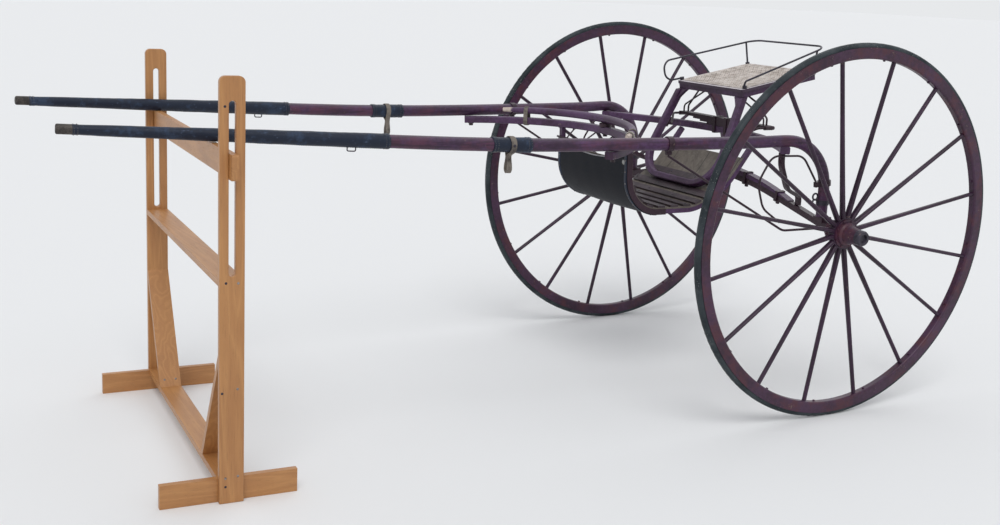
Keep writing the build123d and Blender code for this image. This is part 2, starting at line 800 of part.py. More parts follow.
dash_end = 500.0
with BuildPart() as dash:
    with BuildLine() as dash_line:
        FilletPolyline(*rack_points(0)[:3], radius=rack_front_radius)
    with BuildSketch(rack_plane(0)):
        with Locations((0, outward * (rail_depth / 2 + seat_gap + dash_thickness / 2))):
            Rectangle(floor_width, dash_thickness)
    sweep(path=dash_line.line)
    split(bisect_by=Plane(origin=at(dash_end, 0, 0), z_dir=(1, 0, 0)), keep=Keep.TOP)
    split(bisect_by=Plane(origin=at(0, 0, rack_hang - dash_drop), z_dir=(0, 0, 1)), keep=Keep.BOTTOM)
keep("dash", dash)

# Dash irons: a flat bar down each edge of the dash, a rod along its top and hangers from the crossbar
dash_iron = 5.0
dash_iron_width = 22.0
dash_rod = 8.0
hanger_wire = 6.0
HANGER_PLACES = (-185.0, -62.0, 62.0, 185.0)
rod_drop = 37.5
with BuildPart() as dash_irons:
    for side in (LEFT, RIGHT):
        edge = side * (rack_half_width + rail_width / 2 + seat_gap + dash_iron / 2)
        with BuildLine() as edge_line:
            FilletPolyline(*rack_points(edge)[:3], radius=rack_front_radius)
        with BuildSketch(rack_plane(edge)):
            Rectangle(dash_iron, dash_iron_width)
        sweep(path=edge_line.line)
    split(bisect_by=Plane(origin=at(dash_end - 40, 0, 0), z_dir=(1, 0, 0)), keep=Keep.TOP)
    split(bisect_by=Plane(origin=at(0, 0, rack_hang - rod_drop - 4), z_dir=(0, 0, 1)), keep=Keep.BOTTOM)
    down = rack_plane(0).z_dir
    outer = rack_plane(0).y_dir * outward
    rod_middle = rack_points(0)[0] + down * (rod_drop / abs(down.Z)) + outer * (rail_depth / 2 + dash_rod / 2 + 2)
    rod_half = rack_half_width + rail_width / 2 + seat_gap + dash_iron
    with BuildSketch(Plane(origin=rod_middle + Vector(0, -rod_half, 0), x_dir=(1, 0, 0), z_dir=(0, 1, 0))):
        Circle(dash_rod / 2)
    extrude(amount=2 * rod_half)
    for place in HANGER_PLACES:
        turn = degrees(asin(place / crossbar_radius))
        top = bar_point(turn, -crossbar_depth - seat_gap - 2.8)
        foot = Vector(rod_middle.X, place, rod_middle.Z)
        with BuildSketch(Plane(origin=foot, z_dir=top - foot)):
            Circle(hanger_wire / 2)
        extrude(amount=(top - foot).length)
        with BuildSketch(Plane(origin=bar_point(turn, -crossbar_depth - seat_gap), z_dir=-bar_up)):
            Circle(hanger_wire)
        extrude(amount=4)
keep("dash_irons", dash_irons)

# Seat: a caned frame on an apron, sloping up to the rear, on a bow that reaches down to the rack
slope_back = Vector(-cos(radians(seat_slope)), 0, sin(radians(seat_slope)))
slope_up = Vector(sin(radians(seat_slope)), 0, cos(radians(seat_slope)))
seat_edge = Vector(*at(seat_front, 0, seat_height))


def seat_point(back, left, up):
    """A point on the seat: back from its front edge, to the left, above its top."""
    return seat_edge + slope_back * back + Vector(0, left, 0) + slope_up * up


def seat_plane(up):
    """A plane parallel to the seat, its origin at the seat's middle and its x to the rear."""
    return Plane(origin=seat_point(seat_depth / 2, 0, up), x_dir=slope_back, z_dir=slope_up)


with BuildPart() as seat_frame:
    with BuildSketch(seat_plane(0)):
        RectangleRounded(seat_depth, seat_width, 12)
        Rectangle(seat_depth - 2 * seat_frame_bar, seat_width - 2 * seat_frame_bar, mode=Mode.SUBTRACT)
    extrude(amount=-seat_frame_thickness)
keep("seat_frame", seat_frame)

cane_drop = 1.0
with BuildPart() as seat_cane:
    with BuildSketch(seat_plane(-cane_drop)):
        Rectangle(
            seat_depth - 2 * seat_frame_bar - 2 * running_gap,
            seat_width - 2 * seat_frame_bar - 2 * running_gap,
        )
    extrude(amount=-cane_thickness)
keep("seat_cane", seat_cane)

apron_inset = 6.0
batten_back = 72.0
batten_width = 34.0
with BuildPart() as seat_apron:
    with BuildSketch(seat_plane(-seat_frame_thickness - seat_gap)):
        Rectangle(seat_depth - 2 * apron_inset, seat_width - 2 * apron_inset)
        Rectangle(
            seat_depth - 2 * apron_inset - 2 * apron_thickness,
            seat_width - 2 * apron_inset - 2 * apron_thickness,
            mode=Mode.SUBTRACT,
        )
        with Locations((batten_back - seat_depth / 2, 0)):
            Rectangle(batten_width, seat_width - 4 * apron_inset)
    extrude(amount=-apron_depth)
keep("seat_apron", seat_apron)

lean_sin, lean_cos = sin(radians(bow_lean)), cos(radians(bow_lean))
bow_round = 7.0
bow_top = seat_point(bow_depth / 4, 0, -seat_frame_thickness - apron_depth - 2 * seat_gap)
bow_plane = Plane(origin=bow_top, x_dir=(0, 1, 0), z_dir=(lean_cos, 0, lean_sin))
# The bow's lowest bar rests on the sloping floor, by the round of its corner
slope_normal = Vector(sin(radians(rack_knee_rise)), 0, cos(radians(rack_knee_rise)))
bar_to_floor = (
    (bow_width / 2 - bow_round) * slope_normal.dot(bow_plane.y_dir)
    + (bow_depth / 2 - bow_round) * slope_normal.dot(bow_plane.z_dir)
    + bow_round
)
floor_lift = rail_depth / 2 + 2 * seat_gap + floor_thickness
bow_height = (bow_top - Vector(*at(rack_knee, 0, rack_low))).dot(slope_normal) - floor_lift - bar_to_floor
bow_reach = bow_height / slope_normal.dot(bow_plane.y_dir)
bow_spare = 24.0
gusset_reach = 62.0
gusset_thickness = 12.0
bow_spread = (bow_low_half - bow_top_half) / bow_reach
with BuildPart() as seat_bow:
    with BuildLine(bow_plane) as bow_line:
        FilletPolyline(
            (-bow_top_half + bow_spare * bow_spread, bow_spare),
            (-bow_low_half, -bow_reach),
            (bow_low_half, -bow_reach),
            (bow_top_half - bow_spare * bow_spread, bow_spare),
            radius=bow_corner,
        )
    with BuildSketch(Plane(origin=bow_line.line @ 0, x_dir=bow_plane.z_dir, z_dir=bow_line.line % 0)):
        RectangleRounded(bow_depth, bow_width, bow_round)
    sweep(path=bow_line.line)
    for side in (LEFT, RIGHT):
        corner = bow_top_half - bow_width / 2 + 2
        with BuildSketch(bow_plane):
            with BuildLine():
                Polyline(
                    (side * (corner - gusset_reach), bow_spare),
                    (side * corner, bow_spare),
                    (side * (corner + gusset_reach * bow_spread), -gusset_reach),
                )
                ThreePointArc(
                    (side * (corner + gusset_reach * bow_spread), -gusset_reach),
                    (side * (corner - gusset_reach * 0.36), -gusset_reach * 0.26),
                    (side * (corner - gusset_reach), bow_spare),
                )
            make_face()
        extrude(amount=gusset_thickness / 2, both=True)
    split(bisect_by=seat_plane(-seat_frame_thickness - apron_depth - 2 * seat_gap), keep=Keep.BOTTOM)
keep("seat_bow", seat_bow)

rail_half = seat_width / 2 + 8.0
rail_front = -58.0
rail_low = 8.0
rail_rear = seat_depth + 53.0
rail_corner = 50.0
lug_back = 16.0
lug_left = seat_width / 2 - 10.0
arm_dip = 31.0
post_back = rail_rear - rail_corner
post_foot_back = seat_depth - 14.0
with BuildPart() as seat_rail:
    # The left arm comes down straight to its lug, and the right arm loops forward past its own
    left_arm = (
        (lug_back, lug_left, rail_low),
        (lug_back + 6, lug_left + 5, rail_low + 22),
        (rail_rear / 2, rail_half, rail_height - arm_dip),
        (rail_rear, rail_half, rail_height),
    )
    right_arm = (
        (rail_rear, -rail_half, rail_height),
        (rail_front, -rail_half, rail_height),
        (rail_front, -lug_left - 10, rail_low),
        (lug_back, -lug_left, rail_low),
    )
    with BuildLine() as rail_line:
        FilletPolyline(
            *[seat_point(*point) for point in (*left_arm, *right_arm)],
            radius=(12, 300, rail_corner, rail_corner, 38, 36),
        )
    with BuildSketch(Plane(origin=rail_line.line @ 0, z_dir=rail_line.line % 0)):
        Circle(rail_rod / 2)
    sweep(path=rail_line.line)
    dips = {LEFT: arm_dip * (rail_rear - post_back) / (rail_rear / 2), RIGHT: 0.0}
    for side, dip in dips.items():
        with BuildSketch(Plane(origin=seat_point(lug_back + 4, side * lug_left, seat_gap), x_dir=slope_back, z_dir=slope_up)):
            Circle(9)
        extrude(amount=rail_low + 4)
        foot_place = seat_point(post_foot_back, side * (seat_width / 2 - 12), seat_gap)
        reach = seat_point(post_back, side * rail_half, rail_height - dip) - foot_place
        with BuildSketch(Plane(origin=foot_place, x_dir=slope_back, z_dir=slope_up)):
            Circle(9)
        extrude(amount=8)
        with BuildSketch(Plane(origin=foot_place + reach * 0.05, z_dir=reach)):
            Circle(rail_rod / 2)
        extrude(amount=reach.length * 0.95)
keep("seat_rail", seat_rail)

# Seat irons: from each end of the spring up to the batten, and an arch from end to end
iron_lift = -seat_frame_thickness - apron_depth - seat_iron / 2 - 2 * seat_gap
spring_stand = spring_top + seat_gap
with BuildPart() as seat_irons:
    for side in (LEFT, RIGHT):
        eye = Vector(*at(-9, side * 258, spring_stand))
        with BuildLine() as iron_line:
            FilletPolyline(
                seat_point(batten_back, side * 92, iron_lift),
                seat_point(batten_back, side * 150, iron_lift),
                seat_point(batten_back + 12, side * 196, iron_lift - 32),
                eye + Vector(0, 0, 26),
                eye,
                radius=(24, 30, 14),
            )
        with BuildSketch(Plane(origin=iron_line.line @ 0, z_dir=iron_line.line % 0)):
            Circle(seat_iron / 2)
        sweep(path=iron_line.line)
keep("seat_irons", seat_irons)

arch_rod = 7.0
arch_lift = iron_lift + (seat_iron - arch_rod) / 2
arch_back = batten_back - 9.0
with BuildPart() as seat_arch:
    ends = [at(11, side * 262, spring_stand) for side in (LEFT, RIGHT)]
    bends = [at(11, side * 262, spring_stand + 28) for side in (LEFT, RIGHT)]
    crown = [seat_point(arch_back, side * 90, arch_lift) for side in (LEFT, RIGHT)]
    with BuildLine() as arch_line:
        FilletPolyline(ends[0], bends[0], crown[0], crown[1], bends[1], ends[1], radius=(20, 140, 140, 20))
    with BuildSketch(Plane(origin=arch_line.line @ 0, z_dir=arch_line.line % 0)):
        Circle(arch_rod / 2)
    sweep(path=arch_line.line)
keep("seat_arch", seat_arch)

# Spring hangers: a pin in each spring eye, and a rod forward to a plate on the leg of the seat bow
hanger_rod = 10.0
hanger_plate = 5.0
hanger_down = 150.0
pin_spare = 8.0
pin_radius = eye_bore - 0.2
with BuildPart() as spring_hangers:
    for side in (LEFT, RIGHT):
        eye = Vector(*at(0, side * leaf_half_lengths[0], spring_top - spring_eye))
        pin_start = eye + Vector(-leaf_width / 2 - pin_spare, 0, 0)
        with BuildSketch(Plane(origin=pin_start, x_dir=(0, 1, 0), z_dir=(1, 0, 0))):
            Circle(pin_radius)
        extrude(amount=leaf_width + 2 * pin_spare)
        with BuildSketch(Plane(origin=pin_start, x_dir=(0, 1, 0), z_dir=(1, 0, 0))):
            Circle(pin_radius + 4)
        extrude(amount=pin_spare - 0.5)
        leg = bow_top + Vector(0, side * (bow_top_half + hanger_down * bow_spread), 0) - bow_plane.y_dir * hanger_down
        face = leg - bow_plane.z_dir * (bow_depth / 2 + seat_gap)
        with BuildSketch(Plane(origin=face, x_dir=(0, 1, 0), z_dir=-bow_plane.z_dir)):
            RectangleRounded(bow_width - 4, 46, 6)
        extrude(amount=hanger_plate)
        head = eye + Vector(leaf_width / 2 + 0.5, 0, 0)
        with BuildLine() as hanger_line:
            FilletPolyline(
                head,
                head + Vector(34, 0, 0),
                face - bow_plane.z_dir * 26 - Vector(0, 0, 2),
                face - bow_plane.z_dir * 2,
                radius=(22, 12),
            )
        with BuildSketch(Plane(origin=head, x_dir=(0, 1, 0), z_dir=(1, 0, 0))):
            Circle(hanger_rod / 2)
        sweep(path=hanger_line.line)
keep("spring_hangers", spring_hangers)

# Leg hooks: rings on a band at the foot of each shaft
band_height = 798.0
ring_radius = 12.0
ring_wire = 3.5
ring_forward = shaft_rear_depth / 2 + clip_wall_room + ring_radius + ring_wire + 1.2
with BuildPart() as leg_hooks:
    for side in (LEFT, RIGHT):
        leg = shaft_path(side)[1]
        inner = (shaft_rear_depth / 2 + clip_wall_room, shaft_rear_width / 2 + clip_wall_room)
        with BuildSketch(Plane(origin=(leg.X, leg.Y, band_height), x_dir=(1, 0, 0), z_dir=(0, 0, 1))):
            Ellipse(inner[0] + band_thickness, inner[1] + band_thickness)
            Ellipse(*inner, mode=Mode.SUBTRACT)
        extrude(amount=18)
        for count in range(2):
            lift = 9 + count * (2 * ring_radius - 1)
            with Locations(Location((leg.X + ring_forward, leg.Y, band_height + lift), (90, 0, 0))):
                Torus(ring_radius, ring_wire)
keep("leg_hooks", leg_hooks)

# Shaft feet: iron blocks on the axle with a band round it, carrying the bent ends of the shafts
foot_half = 24.0
foot_left = abs(shaft_path(LEFT)[2].Y)
with BuildPart() as shaft_feet:
    for side in (LEFT, RIGHT):
        with BuildSketch(side_plane):
            with BuildLine():
                Polyline(
                    (side * (foot_left - foot_half), axle_line(foot_left - foot_half, half_bar) + seat_gap),
                    (side * (foot_left + foot_half), axle_line(foot_left + foot_half, half_bar) + seat_gap),
                    (side * (foot_left + foot_half), foot_height - seat_gap),
                    (side * (foot_left - foot_half), foot_height - seat_gap),
                    close=True,
                )
            make_face()
        extrude(amount=shaft_rear_depth / 2 + 2, both=True)
keep("shaft_feet", shaft_feet)

# Shaft clips: a band round each shaft where the stay begins
clip_band = 22.0
with BuildPart() as shaft_clips:
    for side in (LEFT, RIGHT):
        width, depth = shaft_size(clip_place)
        plane = shaft_plane(side, clip_place)
        with BuildSketch(plane):
            Ellipse(width / 2 + 1.5 + band_thickness, depth / 2 + 1.5 + band_thickness)
            with Locations((0, -depth / 2 - 8)):
                Rectangle(12, 14)
            Ellipse(width / 2 + 1.0, depth / 2 + 1.0, mode=Mode.SUBTRACT)
        extrude(amount=clip_band / 2, both=True)
keep("shaft_clips", shaft_clips)

# Stays: a straight rod from each clip down to the axle's end, with a short level run to the axle
with BuildPart() as shaft_stays:
    for side in (LEFT, RIGHT):
        depth = shaft_size(clip_place)[1]
        start = Vector(*at(clip_place, side * shaft_left(clip_place), shaft_up(clip_place) - depth / 2 - 20))
        under = axle_line(foot_left, -half_bar) - stay_rod / 2 / cos(radians(arch_slope)) - 2 * seat_gap
        with BuildLine() as stay_line:
            FilletPolyline(
                start,
                Vector(*at(190, side * (foot_left - 4), under)),
                Vector(*at(-axle_bar_width / 2, side * foot_left, under)),
                radius=60,
            )
        with BuildSketch(Plane(origin=stay_line.line @ 0, z_dir=stay_line.line % 0)):
            Circle(stay_rod / 2)
        sweep(path=stay_line.line)
keep("shaft_stays", shaft_stays)

# Loop rods: from a clamp on the shaft's rear leg forward in a wide bow and down to the stay
# Columns: forward of the axle, left of the cart's middle, height
LOOP_POINTS = ((46, 624, 888), (100, 603, 984), (250, 602, 987), (312, 604, 888), (285, 612, 792), (207, 622, 738))
LOOP_RADII = (50, 55, 75, 70)
clamp_turn = 7.0
clamp_room = 0.8
clamp_wall = 4.0
clamp_height = 20.0
lug_width = 14.0
with BuildPart() as loop_rods:
    for side in (LEFT, RIGHT):
        with BuildLine() as loop_line:
            FilletPolyline(*[at(x, side * y, z) for x, y, z in LOOP_POINTS], radius=LOOP_RADII)
        with BuildSketch(Plane(origin=loop_line.line @ 0, z_dir=loop_line.line % 0)):
            Circle(loop_rod / 2)
        sweep(path=loop_line.line)
        leg = shaft_path(side)[1]
        clamp_plane = Plane(
            origin=(
                leg.X + shaft_bend_radius * (1 - cos(radians(clamp_turn))),
                leg.Y,
                shaft_rear_height - shaft_bend_radius * (1 - sin(radians(clamp_turn))),
            ),
            x_dir=(0, 1, 0),
            z_dir=(sin(radians(clamp_turn)), 0, cos(radians(clamp_turn))),
        )
        toward_loop = 1 if clamp_plane.y_dir.X > 0 else -1
        inner = (shaft_rear_width / 2 + clamp_room, shaft_rear_depth / 2 + clamp_room)
        with BuildSketch(clamp_plane):
            Ellipse(inner[0] + clamp_wall, inner[1] + clamp_wall)
            with Locations((0, toward_loop * (shaft_rear_depth / 2 + clamp_room + 12))):
                Rectangle(lug_width, 24)
            Ellipse(*inner, mode=Mode.SUBTRACT)
        extrude(amount=clamp_height / 2, both=True)
keep("loop_rods", loop_rods)

# Knees: bent bars from the rear crossbar's ends down to the axle
knee_thickness = 14.0
knee_width = 22.0
knee_left = 490.0
with BuildPart() as knees:
    for side in (LEFT, RIGHT):
        head = Vector(*at(rear_bar_end - 22, side * (rear_half - 40), rear_top - rear_bar_depth - seat_gap))
        foot = Vector(*at(0, side * knee_left, axle_line(knee_left - knee_width / 2, half_bar) + seat_gap))
        with BuildLine() as knee_line:
            FilletPolyline(
                head,
                head + Vector(0, 0, -45),
                Vector(*at(95, side * (knee_left + 35), foot.Z + 70)),
                foot + Vector(0, 0, 35),
                foot,
                radius=(60, 90, 22),
            )
        with BuildSketch(Plane(origin=head, x_dir=(0, 1, 0), z_dir=(0, 0, -1))):
            Rectangle(knee_width, knee_thickness)
        sweep(path=knee_line.line)
keep("shaft_knees", knees)

# Stand: two slotted uprights on feet, two stretchers, braces and a bar that clamps in the slots
stand_place = Location(at(stand_forward, stand_offset, 0), (0, 0, stand_turn))


def stand_plane(forward, left, up, x_dir, z_dir):
    """A plane placed on the stand, which is turned a little from the cart."""
    return Plane(stand_place * Plane(origin=(forward, left, up), x_dir=x_dir, z_dir=z_dir).location)


upright_middle = stand_span / 2 - stand_thickness / 2
for name, side in SIDES.items():
    with BuildPart() as upright:
        with BuildSketch(stand_plane(0, side * upright_middle, 0, (1, 0, 0), (0, -1, 0))) as upright_face:
            with Locations((0, stand_height / 2)):
                Rectangle(stand_board, stand_height)
            fillet(upright_face.vertices().sort_by(Axis.Z)[-2:], 28)
            with Locations((0, (slot_low + slot_high) / 2)):
                SlotOverall(slot_high - slot_low, slot_width, rotation=90, mode=Mode.SUBTRACT)
        extrude(amount=stand_thickness / 2, both=True)
    keep(f"stand_upright_{name}", upright)

foot_middle = upright_middle - stand_thickness
for name, side in SIDES.items():
    with BuildPart() as stand_foot:
        with BuildSketch(stand_plane(0, side * foot_middle, 0, (1, 0, 0), (0, -1, 0))):
            with Locations((0, stand_board / 2)):
                Rectangle(stand_foot_length, stand_board)
        extrude(amount=stand_thickness / 2, both=True)
    keep(f"stand_foot_{name}", stand_foot)

shelf_length = 2 * (upright_middle - stand_thickness / 2)
with BuildPart() as stand_shelf:
    with BuildSketch(stand_plane(0, 0, shelf_height, (1, 0, 0), (0, 0, 1))):
        Rectangle(stand_board, shelf_length)
    extrude(amount=-stand_thickness)
keep("stand_shelf", stand_shelf)

stretcher_length = 2 * (foot_middle - stand_thickness / 2)
with BuildPart() as stand_stretcher:
    with BuildSketch(stand_plane(0, 0, stand_board, (1, 0, 0), (0, 0, 1))):
        Rectangle(stand_board, stretcher_length)
    extrude(amount=-stand_thickness)
keep("stand_stretcher", stand_stretcher)

brace_inner = upright_middle - stand_thickness / 2
brace_board = 20.0
with BuildPart() as stand_braces:
    for side in (LEFT, RIGHT):
        slant = Vector(-brace_reach, -(brace_rise - stand_board))
        step = brace_board * slant.length / abs(slant.Y)
        with BuildSketch(stand_plane(0, 0, 0, (0, 1, 0), (1, 0, 0))):
            with BuildLine():
                Polyline(
                    (side * brace_inner, brace_rise),
                    (side * (brace_inner - brace_reach), stand_board),
                    (side * (brace_inner - brace_reach + step), stand_board),
                    (side * brace_inner, brace_rise - step * abs(slant.Y) / brace_reach),
                    close=True,
                )
            make_face()
        extrude(amount=stand_board / 2, both=True)
keep("stand_braces", stand_braces)

# The bar lies on edge under both shafts, through the slots of both uprights
bar_top = (
    min(
        shaft_up(stand_forward + reach) - shaft_size(stand_forward + reach)[1] / 2
        for reach in (-stand_board / 2, stand_board / 2)
    )
    - cover_wall
    - 2 * sleeve_gap
)
bar_ends = (upright_middle + stand_thickness / 2 + bar_stick_out, -upright_middle - stand_thickness / 2)
with BuildPart() as stand_bar:
    with BuildSketch(stand_plane(0, 0, 0, (0, 1, 0), (1, 0, 0))) as bar_face:
        with Locations(((bar_ends[0] + bar_ends[1]) / 2, bar_top - bar_height / 2)):
            Rectangle(bar_ends[0] - bar_ends[1], bar_height)
        fillet(bar_face.vertices().sort_by(Axis.X)[-2:], 8)
    extrude(amount=slot_width / 2 - bar_play, both=True)
keep("stand_bar", stand_bar)
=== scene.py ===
"""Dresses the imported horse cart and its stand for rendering.

Lengths are in metres in the row frame: +X towards the shaft tips, +Y the cart's left, +Z up, with the
origin on the floor under the middle. Places written as forward are counted from the axle.
"""

from __future__ import annotations

import logging
import math
from dataclasses import dataclass
from enum import Enum, auto

import bpy
import numpy as np
from mathutils import Matrix

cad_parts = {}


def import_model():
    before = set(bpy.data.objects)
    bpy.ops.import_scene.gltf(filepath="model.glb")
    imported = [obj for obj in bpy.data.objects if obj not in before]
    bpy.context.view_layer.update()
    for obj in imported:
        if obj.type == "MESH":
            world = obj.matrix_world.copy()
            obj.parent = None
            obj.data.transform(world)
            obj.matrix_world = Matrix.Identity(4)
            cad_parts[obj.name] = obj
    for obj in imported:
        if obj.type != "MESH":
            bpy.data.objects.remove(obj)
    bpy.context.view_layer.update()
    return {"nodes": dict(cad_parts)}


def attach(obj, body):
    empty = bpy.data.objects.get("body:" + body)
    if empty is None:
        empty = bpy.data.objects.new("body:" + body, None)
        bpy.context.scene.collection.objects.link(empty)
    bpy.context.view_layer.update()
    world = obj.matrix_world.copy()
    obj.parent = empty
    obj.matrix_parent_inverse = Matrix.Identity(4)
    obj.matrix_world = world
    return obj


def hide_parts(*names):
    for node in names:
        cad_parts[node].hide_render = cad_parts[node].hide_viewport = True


LOG = logging.getLogger("horse_cart")
AXLE_X = -1.02
AHEAD = np.array((1.0, 0.0, 0.0))
LEFTWARD = np.array((0.0, 1.0, 0.0))
UPWARD = np.array((0.0, 0.0, 1.0))
THREAD_RADIUS = 0.0005
THREAD_LIFT = 0.0002

Colour = tuple[float, float, float]
Point = tuple[float, float, float]
Numbers = np.ndarray | float


class Side(Enum):
    """The two sides of the cart, as the sign of Y."""

    LEFT = 1
    RIGHT = -1

    @property
    def word(self) -> str:
        """The side's name as the nodes spell it."""
        return self.name.lower()


class Grain(Enum):
    """The axis that a piece of timber's grain runs along."""

    ALONG = 0
    ACROSS = 1
    UP = 2


class Skin(Enum):
    """How the edges of a grid are joined: not at all, round with capped ends, or round both ways."""

    OPEN = auto()
    ROD = auto()
    RING = auto()


def at(forward: Numbers, left: Numbers, up: Numbers) -> np.ndarray:
    """Points given forward of the axle, with their three parts spread to one shape."""
    return np.stack(np.broadcast_arrays(AXLE_X + forward, left, up), axis=-1)


def both(*stems: str) -> tuple[str, ...]:
    """The names of nodes that come as a left and a right one."""
    return tuple(f"{stem}_{side.word}" for stem in stems for side in Side)


def scaled(colour: Colour, factor: float, lift: float = 0.0) -> Colour:
    """A colour made darker or paler: each part becomes factor x part + lift, and at most 1."""
    return tuple(min(1.0, part * factor + lift) for part in colour)


# Shader maths


class Value:
    """A node socket that can be used in arithmetic."""

    def __init__(self, graph: Graph, socket: bpy.types.NodeSocket) -> None:
        """Keeps the socket and the graph that it belongs to.

        Args:
            graph: The nodes under construction.
            socket: An output socket of one of them.
        """
        self.graph = graph
        self.socket = socket

    def maths(self, operation: str, *others: Value | float) -> Value:
        """Adds a Math node whose first operand is this value.

        Args:
            operation: The Math node's operation.
            *others: The remaining operands.

        Returns:
            The node's result.
        """
        return self.graph.node("ShaderNodeMath", {"operation": operation}, dict(enumerate((self, *others))))

    def __add__(self, other: Value | float) -> Value:
        """Sum."""
        return self.maths("ADD", other)

    __radd__ = __add__

    def __sub__(self, other: Value | float) -> Value:
        """Difference."""
        return self.maths("SUBTRACT", other)

    def __rsub__(self, other: float) -> Value:
        """Difference from a number."""
        return self.graph.node("ShaderNodeMath", {"operation": "SUBTRACT"}, {0: other, 1: self})

    def __mul__(self, other: Value | float) -> Value:
        """Product."""
        return self.maths("MULTIPLY", other)

    __rmul__ = __mul__

    def __truediv__(self, other: Value | float) -> Value:
        """Quotient."""
        return self.maths("DIVIDE", other)

    def __rtruediv__(self, other: float) -> Value:
        """Quotient of a number."""
        return self.graph.node("ShaderNodeMath", {"operation": "DIVIDE"}, {0: other, 1: self})

    def above(self, limit: float, soft: float) -> Value:
        """A mask that rises from 0 to 1 as the value passes a limit.

        Args:
            limit: The middle of the rise.
            soft: Half the rise's width.

        Returns:
            The mask.
        """
        settings = {"interpolation_type": "SMOOTHSTEP"}
        inputs = {"Value": self, "From Min": limit - soft, "From Max": limit + soft}
        return self.graph.node("ShaderNodeMapRange", settings, inputs)

    def below(self, limit: float, soft: float) -> Value:
        """A mask that falls from 1 to 0 as the value passes a limit."""
        return 1.0 - self.above(limit, soft)


class Graph:
    """The nodes of a material or a world under construction."""

    def __init__(self, tree: bpy.types.NodeTree) -> None:
        """Empties the tree."""
        self.tree = tree
        self.tree.nodes.clear()

    def node(
        self,
        kind: str,
        settings: dict | None = None,
        inputs: dict | None = None,
        output: int | str = 0,
    ) -> Value:
        """Adds a node, with its settings first and then its inputs.

        Args:
            kind: The node's type.
            settings: Attributes of the node.
            inputs: Numbers or Value links by socket name or number.
            output: The socket that is returned.

        Returns:
            The chosen output.
        """
        node = self.tree.nodes.new(kind)
        for name, setting in (settings or {}).items():
            setattr(node, name, setting)
        for name, value in (inputs or {}).items():
            if isinstance(value, Value):
                self.tree.links.new(value.socket, node.inputs[name])
            else:
                node.inputs[name].default_value = value
        return Value(self, node.outputs[output])

    def close(self, kind: str, shader: Value) -> None:
        """Connects a shader to an output node of the given type."""
        out = self.tree.nodes.new(kind)
        self.tree.links.new(shader.socket, out.inputs["Surface"])


class Recipe(Graph):
    """A material under construction."""

    def __init__(self, name: str) -> None:
        """Starts an empty node material.

        Args:
            name: The material's name.
        """
        self.material = bpy.data.materials.new(name)
        self.material.use_nodes = True
        super().__init__(self.material.node_tree)
        self.place = self.node("ShaderNodeTexCoord", output="Object")

    def part(self, axis: int, vector: Value) -> Value:
        """One component of a vector."""
        return self.node("ShaderNodeSeparateXYZ", None, {0: vector}, axis)

    def noise(self, scale: float, detail: float, stretch: Point = (1, 1, 1), rough: float = 0.55) -> Value:
        """Fractal noise between 0 and 1.

        Args:
            scale: Features per metre.
            detail: Octaves.
            stretch: Factors on X, Y and Z before the noise.
            rough: How much the fine octaves weigh.

        Returns:
            The noise.
        """
        vector = self.node("ShaderNodeMapping", None, {"Vector": self.place, "Scale": stretch})
        inputs = {"Vector": vector, "Scale": scale, "Detail": detail, "Roughness": rough}
        return self.node("ShaderNodeTexNoise", None, inputs, "Fac")

    def distance(self, point: Point) -> Value:
        """Distance from the place to a point."""
        inputs = {0: self.place, 1: point}
        return self.node("ShaderNodeVectorMath", {"operation": "DISTANCE"}, inputs, "Value")

    def specks(self, scale: float) -> Value:
        """Distance to the nearest of many scattered points."""
        return self.node("ShaderNodeTexVoronoi", None, {"Vector": self.place, "Scale": scale}, "Distance")

    def agree(self, first: Value, second: Value, limit: float, soft: float) -> Value:
        """A mask where the sum of two noises passes a limit, the first weighed 0.6 and the second 0.4."""
        return (first * 0.6 + second * 0.4).above(limit, soft)

    def blend(self, factor: Value | float, first: Value | Colour, second: Value | Colour) -> Value:
        """A colour between two others.

        Args:
            factor: 0 for the first and 1 for the second.
            first: The first colour.
            second: The second colour.

        Returns:
            The mixed colour.
        """
        inputs = {0: factor, 6: opaque(first), 7: opaque(second)}
        return self.node("ShaderNodeMix", {"data_type": "RGBA"}, inputs, 2)

    def facing_up(self) -> Value:
        """How far the surface faces up, from -1 to 1."""
        return self.part(2, self.node("ShaderNodeNewGeometry", output="Normal"))

    def bump(self, height: Value, distance: float) -> Value:
        """A normal bent by a height from 0 to 1 that stands for a distance in metres."""
        return self.node("ShaderNodeBump", None, {"Height": height, "Distance": distance, "Strength": 1.0})

    def finish(
        self, colour: Value | Colour, roughness: Value | float, **sockets: object
    ) -> bpy.types.Material:
        """Ends the material in a Principled shader.

        Args:
            colour: Base colour.
            roughness: Roughness.
            **sockets: Other sockets of the shader, with underscores for spaces.

        Returns:
            The material.
        """
        inputs = {"Base Color": opaque(colour), "Roughness": roughness}
        inputs.update({name.replace("_", " "): value for name, value in sockets.items()})
        self.close("ShaderNodeOutputMaterial", self.node("ShaderNodeBsdfPrincipled", None, inputs))
        return self.material


def opaque(colour: Value | Colour) -> Value | tuple[float, ...]:
    """A colour as a socket takes it: a link as it is, and three numbers with a full alpha."""
    return colour if isinstance(colour, Value) else (*colour, 1.0)


# Finishes, in which every scale is in features per metre


